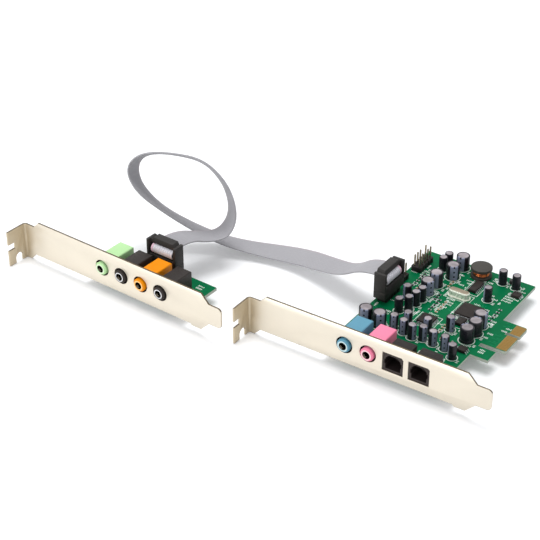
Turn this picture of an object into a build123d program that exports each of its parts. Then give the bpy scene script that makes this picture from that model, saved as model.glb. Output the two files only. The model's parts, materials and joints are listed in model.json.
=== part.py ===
from build123d import *
import math
import os

# Folded bracket sheet, the same on both cards. Card frame: X along the bracket from its screw tab,
# Y from the outer face into the card, Z up from the lower edge of the face.
BRACKET_LENGTH = 120.02
BRACKET_WIDTH = 18.42
SHEET = 0.86
BEND_INSIDE = 1.0
TAB_DEPTH = 11.43
TAB_DROP = 3.17
NECK_LENGTH = 6.7
NECK_CHAMFER = 3.1
TONGUE_WIDTH = 10.19
TONGUE_LOW = 3.9
TONGUE_LENGTH = 6.9
SHOULDER_CHAMFER = 4.2
TONGUE_CORNER = 2.0
LOBE_DROP = 0.8
LOBE_LENGTH = 6.5
SCREW_SLOT_WIDTH = 4.42
SCREW_SLOT_CENTRE = 5.2
SCREW_SLOT_TOP = 1.6
SIDE_SLOT_LOW = 5.1
SIDE_SLOT_HEIGHT = 3.2
SIDE_SLOT_DEPTH = 4.1
JACK_HOLE_DIAMETER = 8.0
WINDOW_WIDTH = 10.1
WINDOW_HEIGHT = 9.05
WINDOW_CORNER = 0.8

# Board ears of the bracket: angle lugs welded behind its foot, each tapped for one screw
EAR_WIDTH = 7.0
EAR_DEPTH = 9.5
EAR_CORNER = 1.4
EAR_BEND_INSIDE = 0.4
SCREW_SETBACK = 6.0
SCREW_DIAMETER = 2.9
SCREW_LENGTH = 3.6
SCREW_HEAD_DIAMETER = 5.4
SCREW_HEAD_HEIGHT = 1.8
SCREW_HEAD_EDGE = 0.6
SCREW_RECESS_LENGTH = 3.0
SCREW_RECESS_DEPTH = 0.9
SCREW_RECESS_WIDTH = 0.8
EAR_HOLE_CLEARANCE = 0.05
BOARD_HOLE_CLEARANCE = 0.25
EAR_INSET = 3.7
SMALL_EAR_INSET = 4.2
EAR_PLATE_SCREW = 3.1

# Circuit boards
BOARD_THICKNESS = 1.6
BOARD_UNDERSIDE = 2.1
BOARD_LEFT = 38.6
BOARD_GAP = 0.64
MAIN_BOARD_WIDTH = 55.6
MAIN_BOARD_DEPTH = 95.1
SMALL_BOARD_WIDTH = 58.6
SMALL_BOARD_DEPTH = 25.2
EAR_PLATE_GAP = 3.15
EAR_PLATE_WIDTH = 6.4
EAR_PLATE_DEPTH = 11.5

# Card edge with its contacts, 1 mm apart, and the retention hook beside it
EDGE_START = 41.1
EDGE_REACH = 12.0
FIRST_SECTION = 11.65
SECOND_SECTION = 7.65
KEY_WIDTH = 1.9
KEY_DEPTH = 6.5
EDGE_CHAMFER = 0.8
HOOK_START = 31.1
HOOK_LENGTH = 7.5
HOOK_REACH = 8.5
CONTACT_PITCH = 1.0
CONTACT_WIDTH = 0.7
CONTACT_LENGTH = 4.2
CONTACT_THICKNESS = 0.05
CONTACT_SETBACK = 0.5
FIRST_CONTACTS = 11
SECOND_CONTACTS = 7
CONTACT_MARGIN = 1.1

# Jacks for 3.5 mm plugs
JACK_FIRST_X = 50.0
JACK_PITCH = 11.65
SMALL_LAST_JACK_INSET = 12.25
SMALL_JACK_COUNT = 4
JACK_AXIS_HEIGHT = 5.4
JACK_WIDTH = 8.2
JACK_HEIGHT = 9.6
JACK_DEPTH = 16.6
JACK_EDGE = 0.35
BARREL_DIAMETER = 6.4
BARREL_PROUD = 1.4
BARREL_EDGE = 0.7
BORE_DIAMETER = 3.6
BORE_DEPTH = 14.5
JACK_CONTACT_WIDTH = 1.4
JACK_CONTACT_HEIGHT = 2.6
JACK_CONTACT_LENGTH = 0.8
JACK_CONTACT_CLEARANCE = 0.05
RIM_OUTSIDE = 4.6
RIM_LENGTH = 0.7
RIM_CLEARANCE = 0.05

# Optical ports
PORT_FIRST_X = 73.75
PORT_PITCH = 12.45
PORT_AXIS_HEIGHT = 4.9
PORT_WIDTH = 9.7
PORT_TOP = 4.5
PORT_DEPTH = 11.4
PORT_CLEARANCE = 0.2
PORT_RECESS = 0.4
CAVITY_WIDTH = 7.2
CAVITY_HEIGHT = 6.8
CAVITY_BEVEL = 1.5
CAVITY_DEPTH = 8.0
CAVITY_NOTCH_HEIGHT = 2.2
CAVITY_NOTCH_DEPTH = 0.5
MODULE_WIDTH = 7.2
MODULE_LENGTH = 2.5
MODULE_CLEARANCE = 0.1
WALL_BEHIND_CAVITY = 1.2
FERRULE_DIAMETER = 2.6
FERRULE_BORE = 1.0
FERRULE_REACH = 3.5

# Pin headers on a 2.54 mm grid
PIN_PITCH = 2.54
PIN_SIDE = 0.64
HEADER_BASE_HEIGHT = 2.54
HEADER_EDGE = 0.4
PIN_ABOVE_BASE = 6.0

# Ribbon plugs. Plug frame: X along the plug, Y towards the side where the cable leaves,
# Z up from the header base
RIBBON_WAYS = 10
RIBBON_PITCH = 1.27
RIBBON_THICKNESS = 0.9
PLUG_LENGTH = 17.3
PLUG_WIDTH = 6.0
SOCKET_HEIGHT = 6.0
SOCKET_CHANNEL = 1.3
SOCKET_FLOOR = 0.4
KEY_BUMP_WIDTH = 4.5
KEY_BUMP_PROUD = 0.7
COVER_HEIGHT = 3.1
COVER_SETBACK = 0.9
COVER_LENGTH = 14.2
RELIEF_HEIGHT = 3.1
RELIEF_ARM = 1.35
RELIEF_ARM_LOW = 3.6
RELIEF_NOTCH = 0.8
RELIEF_SETBACK = 1.8
ARM_CLEARANCE = 0.05
CONTACT_TUBE_SIDE = 1.2
CONTACT_TUBE_BORE = 0.72
CONTACT_TUBE_LOW = 0.8
MAIN_PLUG_X = 42.1
MAIN_PLUG_Y = 51.1
SMALL_PLUG_X = 69.1
SMALL_PLUG_Y = 22.4

# Other headers on the main board, by their centres
FRONT_HEADER = (42.5, 81.5)
FRONT_HEADER_ROWS = 5
FRONT_HEADER_KEY = 7
JUMPER_HEADER = (41.4, 66.4)
JUMPER_PINS = 2

# Electrolytic capacitors, by their centres on the main board
CAN_HEIGHT = 7.2
CAN_EDGE = 0.35
LARGE_DIAMETER = 6.3
SMALL_DIAMETER = 4.0
LARGE_PLACES = [(43.8, 28.2), (50.8, 28.2), (88.1, 39.3), (88.7, 46.0), (87.8, 52.6),
                (59.1, 90.3), (58.9, 80.8), (55.8, 70.7), (55.6, 62.8)]
SMALL_PLACES = [(57.1, 30.1), (62.5, 29.0), (61.1, 35.3), (67.4, 27.8), (72.0, 29.4), (77.3, 28.6),
                (70.7, 35.8), (83.4, 28.1), (89.0, 24.4), (78.4, 42.4), (81.1, 72.6), (80.4, 89.0),
                (87.4, 88.6), (52.1, 84.0), (52.7, 88.4), (56.6, 56.0), (55.9, 51.5), (55.2, 46.4),
                (52.3, 42.6), (50.2, 53.8)]
LARGE_LEAD_SPAN = 2.5
SMALL_LEAD_SPAN = 1.5

# Chips in flat packages
CHIP_THICKNESS = 1.4
CHIP_STANDOFF = 0.15
LEAD_THICKNESS = 0.15
PIN_ONE_BEVEL = 0.6
SMALL_CHIP_BEVEL = 0.28
QUAD_LEAD_PITCH = 0.5
QUAD_LEAD_WIDTH = 0.24
QUAD_LEAD_REACH = 1.0
CONTROLLER_SIDE = 10.0
CONTROLLER_LEADS = 16
CONTROLLER_PLACE = (79.2, 58.8)
CODEC_SIDE = 7.0
CODEC_LEADS = 12
CODEC_PLACE = (66.7, 42.8)
SMALL_LEAD_PITCH = 1.27
SMALL_LEAD_WIDTH = 0.42
SMALL_CHIP_WIDTH = 3.9
SMALL_LEAD_REACH = 1.05
SMALL_CHIP_PLACES = [(72.3, 78.4), (79.8, 49.5), (90.2, 31.4), (90.6, 82.6)]
SMALL_CHIP_PINS = [7, 4, 3, 3]
CHIP_PIN_MARGIN = 1.1

# Crystal can, drum inductor and bead
CRYSTAL_PLACE = (69.2, 67.9)
CRYSTAL_LENGTH = 10.2
CRYSTAL_WIDTH = 3.8
CRYSTAL_HEIGHT = 3.4
CRYSTAL_FLANGE = 0.45
CRYSTAL_FLANGE_HEIGHT = 0.5
INDUCTOR_PLACE = (69.5, 88.9)
INDUCTOR_DIAMETER = 10.0
INDUCTOR_HEIGHT = 5.4
INDUCTOR_FLANGE = 1.5
INDUCTOR_HUB = 5.0
WINDING_DIAMETER = 7.8
WINDING_CLEARANCE = 0.05
BEAD_PLACE = (84.0, 91.2)
BEAD_DIAMETER = 2.2
BEAD_HEIGHT = 2.0

# Chip resistors and capacitors: the first place of each row, its steps in x and y, and how many are in it
CHIP_LENGTH = 1.6
CHIP_WIDTH = 0.8
CHIP_HEIGHT = 0.55
CHIP_CAP = 0.35
RESISTOR_ROWS = [(47.4, 62.0, 0.0, 2.3), (61.4, 60.0, 0.0, 2.0), (89.8, 58.6, 0.0, 2.4),
                 (46.5, 20.4, 3.1, 0.0), (63.6, 51.0, 0.0, 2.3)]
RESISTOR_COUNTS = [7, 3, 5, 7, 5]
CAPACITOR_ROWS = [(50.4, 60.6, 0.0, 2.5), (61.4, 72.6, 0.0, 2.2), (75.2, 37.4, 0.0, 2.2),
                  (69.8, 20.4, 3.1, 0.0), (66.8, 51.0, 0.0, 2.3), (78.4, 34.2, 2.7, 0.0)]
CAPACITOR_COUNTS = [7, 3, 4, 6, 5, 3]

# Solder joints under the boards
JOINT_SIDE = 1.3
JOINT_HEIGHT = 1.1
JOINT_TIP = 0.5
JACK_TAILS = [(-3.0, 4.0), (3.0, 4.0), (-3.0, 12.5), (3.0, 12.5), (0.0, 15.4)]
PORT_TAILS = [(-2.54, 10.2), (0.0, 10.2), (2.54, 10.2), (-3.6, 4.2), (3.6, 4.2)]

# Ribbon cable between the plugs. Its route in the part's own frame, from the jack card's plug to the main
# plug: each point with the way the cable's width points there, in degrees clockwise from X and degrees of
# tilt. The ends and the straight leads at both plugs follow the plugs.
SMALL_LEAD = 9.0
MAIN_LEAD = 7.5
SMALL_LEAD_TWIST = 8
ARC_SHARE = 0.45
SECTION_STEP = 6.0
ROUTE = [(-46.0, -4.5, 15.8, 25, 3), (-41.3, 4.0, 14.6, 31, 10), (-39.3, 9.3, 20.8, 34, 19),
         (-41.3, 12.0, 29.0, 40, 26), (-47.0, 13.0, 38.0, 46, 30), (-57.0, 11.0, 46.5, 55, 33),
         (-71.0, 5.0, 48.5, 66, 31), (-81.5, 0.0, 47.8, 75, 27), (-87.0, -3.0, 43.5, 78, 20),
         (-87.3, -4.8, 37.2, 74, 13), (-82.5, -5.3, 30.0, 63, 12), (-73.0, -1.0, 20.5, 50, 16),
         (-61.5, 6.0, 11.5, 52, 13), (-48.4, 12.2, 5.1, 61, 11), (-34.6, 16.7, 3.3, 73, 7),
         (-20.1, 20.2, 3.5, 82, -2), (-5.5, 20.8, 5.5, 95, -7), (9.0, 18.0, 8.0, 102, -4),
         (22.5, 14.5, 11.5, 101, 0)]

# Where the two cards lie, with the origin under the middle of the pair
MAIN_X = 2.42
MAIN_Y = -37.95
SMALL_X = -121.85
SMALL_Y = -45.70
SMALL_YAW = -3.0

BOARD_TOP = BOARD_UNDERSIDE + BOARD_THICKNESS
BOARD_FRONT = SHEET + BOARD_GAP
JACK_AXIS_Z = BOARD_TOP + JACK_AXIS_HEIGHT
PORT_AXIS_Z = BOARD_TOP + PORT_AXIS_HEIGHT
HEADER_TOP = BOARD_TOP + HEADER_BASE_HEIGHT
MAIN_RIGHT = BOARD_LEFT + MAIN_BOARD_WIDTH
SMALL_RIGHT = BOARD_LEFT + SMALL_BOARD_WIDTH
MAIN_JACKS_X = [JACK_FIRST_X + i * JACK_PITCH for i in range(2)]
SMALL_JACK_SPREAD = SMALL_RIGHT - SMALL_LAST_JACK_INSET - JACK_FIRST_X
SMALL_JACKS_X = [JACK_FIRST_X + i * SMALL_JACK_SPREAD / (SMALL_JACK_COUNT - 1)
                 for i in range(SMALL_JACK_COUNT)]
PORTS_X = [PORT_FIRST_X + i * PORT_PITCH for i in range(2)]
EAR_PLATE_LEFT = PORTS_X[-1] + PORT_WIDTH / 2 + EAR_PLATE_GAP
MAIN_EARS_X = [BOARD_LEFT + EAR_INSET, EAR_PLATE_LEFT + EAR_PLATE_SCREW]
SMALL_EARS_X = [BOARD_LEFT + EAR_INSET, SMALL_RIGHT - SMALL_EAR_INSET]
RIBBON_WIDTH = RIBBON_WAYS * RIBBON_PITCH
PLUG_PINS = RIBBON_WAYS // 2
RIBBON_LOW = SOCKET_HEIGHT
COVER_LOW = RIBBON_LOW + RIBBON_THICKNESS
RIBBON_HIGH = COVER_LOW + COVER_HEIGHT
RELIEF_LOW = RIBBON_HIGH + RIBBON_THICKNESS
MAIN_CARD = Location((MAIN_X, MAIN_Y, TAB_DROP))
SMALL_CARD = Location((SMALL_X, SMALL_Y, TAB_DROP), (0, 0, SMALL_YAW))


def block(x0, x1, y0, y1, z0, z1):
    """A box given by its lowest and highest corners."""
    return Pos((x0 + x1) / 2, (y0 + y1) / 2, (z0 + z1) / 2) * Box(x1 - x0, y1 - y0, z1 - z0)


def prism(points, direction, amount):
    """A flat outline, given by corners in space, pushed along a direction."""
    return extrude(make_face(Polyline(*points, close=True)), amount=amount, dir=direction)


def rod(radius, start, length, direction):
    """A round bar that starts at a point and runs along a direction."""
    return Plane(origin=start, z_dir=direction) * Cylinder(
        radius, length, align=(Align.CENTER, Align.CENTER, Align.MIN))


def bracket_strip():
    """The sheet seen from above: the long face, the bend and the screw tab towards the outside."""
    outer = BEND_INSIDE + SHEET
    corner = make_face(Polyline((0, -TAB_DEPTH), (SHEET, -TAB_DEPTH), (SHEET, 0), (BRACKET_LENGTH, 0),
                                (BRACKET_LENGTH, SHEET), (0, SHEET), close=True))
    strip = extrude(corner, amount=BRACKET_WIDTH + TAB_DROP)
    inside = strip.edges().filter_by(Axis.Z).sort_by_distance((SHEET, 0, 0))[0]
    strip = fillet(inside, BEND_INSIDE)
    outside = strip.edges().filter_by(Axis.Z).sort_by_distance((0, SHEET, 0))[0]
    return Pos(0, 0, -TAB_DROP) * fillet(outside, outer)


def face_outline():
    """Everything that the front view of the face and tongue keeps, as a thick slab."""
    neck_top = BRACKET_WIDTH - TAB_DROP
    tongue_x = BRACKET_LENGTH - TONGUE_LENGTH
    tongue_top = TONGUE_LOW + TONGUE_WIDTH
    shoulder_x = tongue_x - SHOULDER_CHAMFER
    lobe_x = shoulder_x - LOBE_LENGTH
    lower_x = tongue_x - (TONGUE_LOW + LOBE_DROP)
    points = [(0, -TAB_DROP), (NECK_LENGTH - NECK_CHAMFER, -TAB_DROP), (NECK_LENGTH, 0), (lobe_x, 0),
              (lobe_x + LOBE_DROP, -LOBE_DROP), (lower_x, -LOBE_DROP), (tongue_x, TONGUE_LOW),
              (BRACKET_LENGTH, TONGUE_LOW), (BRACKET_LENGTH, tongue_top), (tongue_x, tongue_top),
              (shoulder_x, BRACKET_WIDTH), (NECK_LENGTH + NECK_CHAMFER, BRACKET_WIDTH),
              (NECK_LENGTH, neck_top), (0, neck_top)]
    slab = prism([(x, -TAB_DEPTH, z) for x, z in points], (0, 1, 0), TAB_DEPTH + SHEET)
    tips = slab.edges().filter_by(Axis.Y).sort_by(Axis.X)[-2:]
    return fillet(tips, TONGUE_CORNER)


def tab_cuts():
    """The open screw slot and the side slot of the tab."""
    reach = BEND_INSIDE + SHEET
    radius = SCREW_SLOT_WIDTH / 2
    slot_y = -SCREW_SLOT_CENTRE
    slot = block(-SHEET, reach, slot_y - radius, slot_y + radius, -2 * TAB_DROP, SCREW_SLOT_TOP - radius)
    slot += rod(radius, (-SHEET, slot_y, SCREW_SLOT_TOP - radius), reach + SHEET, (1, 0, 0))
    side = block(-SHEET, reach, -TAB_DEPTH - SHEET, -TAB_DEPTH + SIDE_SLOT_DEPTH,
                 SIDE_SLOT_LOW, SIDE_SLOT_LOW + SIDE_SLOT_HEIGHT)
    return slot + side


def board_ear(x):
    """One ear: an angle with one leg on the back of the face and one under the board, tapped."""
    low = BOARD_UNDERSIDE - SHEET
    left = x - EAR_WIDTH / 2
    profile = [(left, SHEET, 0), (left, 2 * SHEET, 0), (left, 2 * SHEET, low), (left, EAR_DEPTH, low),
               (left, EAR_DEPTH, BOARD_UNDERSIDE), (left, SHEET, BOARD_UNDERSIDE)]
    ear = prism(profile, (1, 0, 0), EAR_WIDTH)
    ear = fillet(ear.edges().filter_by(Axis.X).sort_by_distance((x, 2 * SHEET, low))[0], EAR_BEND_INSIDE)
    ear = fillet(ear.edges().filter_by(Axis.Z).sort_by(Axis.Y)[-2:], EAR_CORNER)
    hole_radius = SCREW_DIAMETER / 2 + EAR_HOLE_CLEARANCE
    return ear - rod(hole_radius, (x, SCREW_SETBACK, 0), BOARD_UNDERSIDE, (0, 0, 1))


def bracket(jacks_x, ports_x, ears_x):
    """A whole bracket with its holes for jacks and ports and its ears."""
    sheet = bracket_strip() & face_outline()
    sheet -= tab_cuts()
    for x in jacks_x:
        sheet -= rod(JACK_HOLE_DIAMETER / 2, (x, -SHEET, JACK_AXIS_Z), 3 * SHEET, (0, 1, 0))
    for x in ports_x:
        window = Pos(x, 0, PORT_AXIS_Z) * Box(WINDOW_WIDTH, 4 * SHEET, WINDOW_HEIGHT)
        upper = window.edges().filter_by(Axis.Y).sort_by_distance((x + WINDOW_WIDTH, 0, BRACKET_WIDTH))[0]
        sheet -= chamfer(upper, WINDOW_CORNER)
    for x in ears_x:
        sheet += board_ear(x)
    return sheet


def screws(places_x):
    """Pan-head screws through the board into the ears."""
    made = []
    for x in places_x:
        top = BOARD_TOP + SCREW_HEAD_HEIGHT
        head = rod(SCREW_HEAD_DIAMETER / 2, (x, SCREW_SETBACK, BOARD_TOP), SCREW_HEAD_HEIGHT, (0, 0, 1))
        head = chamfer(head.edges().sort_by(Axis.Z)[-1], SCREW_HEAD_EDGE)
        screw = head + rod(SCREW_DIAMETER / 2, (x, SCREW_SETBACK, BOARD_TOP), SCREW_LENGTH, (0, 0, -1))
        for turn in (0, 90):
            bar = Box(SCREW_RECESS_LENGTH, SCREW_RECESS_WIDTH, 2 * SCREW_RECESS_DEPTH)
            screw -= Pos(x, SCREW_SETBACK, top) * Rot(0, 0, turn) * bar
        made.append(screw)
    return made


def drill_board(board, ears_x):
    """Clearance holes for the bracket screws."""
    radius = SCREW_DIAMETER / 2 + BOARD_HOLE_CLEARANCE
    for x in ears_x:
        board -= rod(radius, (x, SCREW_SETBACK, 0), BOARD_TOP + BOARD_THICKNESS, (0, 0, 1))
    return board


def main_board():
    """The main board with its card edge, key notch, retention hook and the plate for the far ear."""
    edge_x = MAIN_RIGHT + EDGE_REACH
    key_start = EDGE_START + FIRST_SECTION
    key_end = key_start + KEY_WIDTH
    edge_end = key_end + SECOND_SECTION
    hook_end = HOOK_START + HOOK_LENGTH
    ear_x = EAR_PLATE_LEFT + EAR_PLATE_WIDTH
    points = [(BOARD_LEFT, BOARD_FRONT), (ear_x, BOARD_FRONT), (ear_x, EAR_PLATE_DEPTH),
              (MAIN_RIGHT, EAR_PLATE_DEPTH), (MAIN_RIGHT, HOOK_START),
              (MAIN_RIGHT + HOOK_REACH, HOOK_START), (MAIN_RIGHT + HOOK_REACH, hook_end),
              (MAIN_RIGHT, hook_end), (MAIN_RIGHT, EDGE_START), (edge_x - EDGE_CHAMFER, EDGE_START),
              (edge_x, EDGE_START + EDGE_CHAMFER), (edge_x, key_start), (edge_x - KEY_DEPTH, key_start),
              (edge_x - KEY_DEPTH, key_end), (edge_x, key_end), (edge_x, edge_end - EDGE_CHAMFER),
              (edge_x - EDGE_CHAMFER, edge_end), (MAIN_RIGHT, edge_end), (MAIN_RIGHT, MAIN_BOARD_DEPTH),
              (BOARD_LEFT, MAIN_BOARD_DEPTH)]
    board = prism([(x, y, BOARD_UNDERSIDE) for x, y in points], (0, 0, 1), BOARD_THICKNESS)
    return drill_board(board, MAIN_EARS_X)


def small_board():
    """The board of the jack card."""
    board = block(BOARD_LEFT, SMALL_RIGHT, BOARD_FRONT, SMALL_BOARD_DEPTH, BOARD_UNDERSIDE, BOARD_TOP)
    return drill_board(board, SMALL_EARS_X)


def edge_contacts():
    """Gold contact pads on both faces of the card edge."""
    far = MAIN_RIGHT + EDGE_REACH - CONTACT_SETBACK
    second_start = EDGE_START + CONTACT_MARGIN + (FIRST_CONTACTS - 1) * CONTACT_PITCH
    second_start += KEY_WIDTH + 2 * (FIRST_SECTION - CONTACT_MARGIN - (FIRST_CONTACTS - 1) * CONTACT_PITCH)
    places = [EDGE_START + CONTACT_MARGIN + i * CONTACT_PITCH for i in range(FIRST_CONTACTS)]
    places += [second_start + i * CONTACT_PITCH for i in range(SECOND_CONTACTS)]
    pads = []
    for y in places:
        low, high = y - CONTACT_WIDTH / 2, y + CONTACT_WIDTH / 2
        for z in (BOARD_TOP, BOARD_UNDERSIDE - CONTACT_THICKNESS):
            pads.append(block(far - CONTACT_LENGTH, far, low, high, z, z + CONTACT_THICKNESS))
    return pads


def jack(x, with_rim):
    """A jack housing: block behind the bracket and a barrel through it, bored for a plug."""
    low = JACK_AXIS_HEIGHT
    body = block(-JACK_WIDTH / 2, JACK_WIDTH / 2, 0, JACK_DEPTH, -low, JACK_HEIGHT - low)
    upper = body.faces().sort_by(Axis.Z)[-1].edges()
    body = chamfer(upper, JACK_EDGE)
    front = SHEET + BARREL_PROUD
    barrel = rod(BARREL_DIAMETER / 2, (0, 0, 0), front, (0, -1, 0))
    barrel = chamfer(barrel.edges().sort_by(Axis.Y)[0], BARREL_EDGE)
    whole = body + barrel - rod(BORE_DIAMETER / 2, (0, -front, 0), BORE_DEPTH, (0, 1, 0))
    bore_end = BORE_DEPTH - front
    wide = JACK_CONTACT_WIDTH / 2 + JACK_CONTACT_CLEARANCE
    tall = JACK_CONTACT_HEIGHT / 2 + JACK_CONTACT_CLEARANCE
    whole -= block(-wide, wide, 0, bore_end + JACK_CONTACT_LENGTH, -tall, tall)
    if with_rim:
        whole -= rod(RIM_OUTSIDE / 2 + RIM_CLEARANCE, (0, -front, 0), RIM_LENGTH, (0, 1, 0))
    return Pos(x, SHEET, JACK_AXIS_Z) * whole


def jack_contact(x):
    """The tip contact in its pocket behind a jack's bore."""
    bore_end = BORE_DEPTH - BARREL_PROUD
    size = (JACK_CONTACT_WIDTH, JACK_CONTACT_LENGTH, JACK_CONTACT_HEIGHT)
    return Pos(x, bore_end + JACK_CONTACT_LENGTH / 2, JACK_AXIS_Z) * Box(*size)


def jack_rim(x):
    """The bright ring let into the mouth of a black jack."""
    front = (x, -BARREL_PROUD, JACK_AXIS_Z)
    ring = rod(RIM_OUTSIDE / 2, front, RIM_LENGTH, (0, 1, 0))
    return ring - rod(BORE_DIAMETER / 2, front, RIM_LENGTH, (0, 1, 0))


def port_cavity():
    """The keyed plug opening of an optical port: a square with two bevelled corners and side notches."""
    half, tall = CAVITY_WIDTH / 2, CAVITY_HEIGHT / 2
    points = [(-half, -tall), (half, -tall), (half, tall - CAVITY_BEVEL), (half - CAVITY_BEVEL, tall),
              (-half + CAVITY_BEVEL, tall), (-half, tall - CAVITY_BEVEL)]
    front = -SHEET + PORT_RECESS
    cavity = prism([(x, front, z) for x, z in points], (0, 1, 0), CAVITY_DEPTH)
    reach = half + CAVITY_NOTCH_DEPTH
    tall_notch = CAVITY_NOTCH_HEIGHT / 2
    return cavity + block(-reach, reach, front, front + CAVITY_DEPTH, -tall_notch, tall_notch)


def optical_housing(x):
    """A port housing: body on the board, bezel in the bracket window, cavity in front, pocket behind."""
    half = PORT_WIDTH / 2
    pocket_y = CAVITY_DEPTH - SHEET + PORT_RECESS + WALL_BEHIND_CAVITY
    module = MODULE_WIDTH / 2 + MODULE_CLEARANCE
    body = block(-half, half, 0, PORT_DEPTH, -PORT_AXIS_HEIGHT, PORT_TOP)
    bezel_x = WINDOW_WIDTH / 2 - PORT_CLEARANCE
    bezel_z = WINDOW_HEIGHT / 2 - PORT_CLEARANCE
    bezel = block(-bezel_x, bezel_x, -SHEET + PORT_RECESS, 0, -bezel_z, bezel_z)
    corner = bezel.edges().filter_by(Axis.Y).sort_by_distance((WINDOW_WIDTH, 0, WINDOW_HEIGHT))[0]
    whole = body + chamfer(corner, WINDOW_CORNER) - port_cavity()
    whole -= block(-module, module, pocket_y, PORT_DEPTH, -module, module)
    whole -= rod(FERRULE_DIAMETER / 2 + MODULE_CLEARANCE, (0, 0, 0), PORT_DEPTH, (0, 1, 0))
    return Pos(x, SHEET, PORT_AXIS_Z) * whole


def optical_module(x):
    """The transceiver in the pocket, with its fibre ferrule reaching into the cavity."""
    pocket_y = CAVITY_DEPTH - SHEET + PORT_RECESS + WALL_BEHIND_CAVITY
    half = MODULE_WIDTH / 2
    core = block(-half, half, pocket_y, pocket_y + MODULE_LENGTH, -half, half)
    reach = WALL_BEHIND_CAVITY + FERRULE_REACH
    core += rod(FERRULE_DIAMETER / 2, (0, pocket_y, 0), reach, (0, -1, 0))
    core -= rod(FERRULE_BORE / 2, (0, pocket_y - reach, 0), FERRULE_REACH, (0, 1, 0))
    return Pos(x, SHEET, PORT_AXIS_Z) * core


def pin_grid(columns, rows):
    """Centres of a pin grid about the middle of its header."""
    return [((i - (columns - 1) / 2) * PIN_PITCH, (j - (rows - 1) / 2) * PIN_PITCH)
            for i in range(columns) for j in range(rows)]


def header_base(columns, rows):
    """The insulator of a pin header, with a bevelled cell for each column and square holes for the pins."""
    box = Pos(0, 0, HEADER_BASE_HEIGHT / 2) * Box(PIN_PITCH, rows * PIN_PITCH, HEADER_BASE_HEIGHT)
    cell = chamfer(box.edges().filter_by(Axis.Z), HEADER_EDGE)
    cells = [Pos((i - (columns - 1) / 2) * PIN_PITCH, 0, 0) * cell for i in range(columns)]
    base = cells[0].fuse(*cells[1:])
    for x, y in pin_grid(columns, rows):
        base -= Pos(x, y, 0) * Box(PIN_SIDE, PIN_SIDE, 3 * HEADER_BASE_HEIGHT)
    return base


def header_pins(columns, rows, left_out=()):
    """Square pins from the board up through the insulator."""
    pins = []
    for number, (x, y) in enumerate(pin_grid(columns, rows)):
        if number in left_out:
            continue
        half = PIN_SIDE / 2
        pins.append(block(x - half, x + half, y - half, y + half, 0, HEADER_BASE_HEIGHT + PIN_ABOVE_BASE))
    return pins


def plug_socket():
    """The socket half of a ribbon plug, with a channel over each pin and a key on its side."""
    half, side = PLUG_LENGTH / 2, PLUG_WIDTH / 2
    waist = half - RELIEF_ARM - ARM_CLEARANCE
    body = block(-half, half, -side, side, 0, RELIEF_ARM_LOW)
    body += block(-waist, waist, -side, side, RELIEF_ARM_LOW, SOCKET_HEIGHT)
    body += block(-KEY_BUMP_WIDTH / 2, KEY_BUMP_WIDTH / 2, side, side + KEY_BUMP_PROUD, 0, SOCKET_HEIGHT)
    top = PIN_ABOVE_BASE - SOCKET_FLOOR
    for x, y in pin_grid(PLUG_PINS, 2):
        channel = SOCKET_CHANNEL / 2
        body -= block(x - channel, x + channel, y - channel, y + channel, CONTACT_TUBE_LOW, top)
        pin = CONTACT_TUBE_BORE / 2
        body -= block(x - pin, x + pin, y - pin, y + pin, 0, SOCKET_HEIGHT)
    return body


def plug_contacts():
    """Spring contacts in the socket: a square sleeve round each pin."""
    sleeves = []
    top = PIN_ABOVE_BASE - SOCKET_FLOOR
    for x, y in pin_grid(PLUG_PINS, 2):
        half, bore = CONTACT_TUBE_SIDE / 2, CONTACT_TUBE_BORE / 2
        sleeve = block(x - half, x + half, y - half, y + half, CONTACT_TUBE_LOW, top)
        sleeves.append(sleeve - block(x - bore, x + bore, y - bore, y + bore, 0, SOCKET_HEIGHT))
    return sleeves


def plug_cover():
    """The cover that presses the cable onto the socket, rounded where the cable folds over it."""
    front, back = -PLUG_WIDTH / 2 + COVER_SETBACK, PLUG_WIDTH / 2
    half = COVER_LENGTH / 2
    bend_y = front + COVER_HEIGHT / 2
    middle = (COVER_LOW + RIBBON_HIGH) / 2
    cover = block(-half, half, bend_y, back, COVER_LOW, RIBBON_HIGH)
    return cover + rod(COVER_HEIGHT / 2, (-half, bend_y, middle), COVER_LENGTH, (1, 0, 0))


def plug_strain_relief():
    """The clip over the cable: a bar with bevelled ends and an arm down each end of the socket."""
    half, side = PLUG_LENGTH / 2, PLUG_WIDTH / 2
    inner = half - RELIEF_ARM
    top = RELIEF_LOW + RELIEF_HEIGHT
    shelf = top - RELIEF_NOTCH
    right = [(inner, RELIEF_LOW), (inner, RELIEF_ARM_LOW), (half, RELIEF_ARM_LOW), (half, shelf),
             (inner, shelf), (inner - RELIEF_NOTCH, shelf - RELIEF_NOTCH), (inner - 2 * RELIEF_NOTCH, top)]
    left = [(-x, z) for x, z in reversed(right)]
    clip = prism([(x, -side, z) for x, z in right + left], (0, 1, 0), PLUG_WIDTH)
    return clip - block(-inner, inner, -side, -side + RELIEF_SETBACK, RELIEF_LOW, top)


def plug_fold():
    """The cable inside a plug: in under the cover, round its edge and out over its top."""
    front, back = -PLUG_WIDTH / 2 + COVER_SETBACK, PLUG_WIDTH / 2
    bend_y = front + COVER_HEIGHT / 2
    middle = (COVER_LOW + RIBBON_HIGH) / 2
    outer = COVER_HEIGHT / 2 + RIBBON_THICKNESS
    half = RIBBON_WIDTH / 2
    sheet = block(-half, half, bend_y, back, RIBBON_LOW, RELIEF_LOW)
    sheet += rod(outer, (-half, bend_y, middle), RIBBON_WIDTH, (1, 0, 0))
    sheet -= block(-half, half, bend_y, back, COVER_LOW, RIBBON_HIGH)
    return sheet - rod(COVER_HEIGHT / 2, (-half, bend_y, middle), RIBBON_WIDTH, (1, 0, 0))


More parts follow.
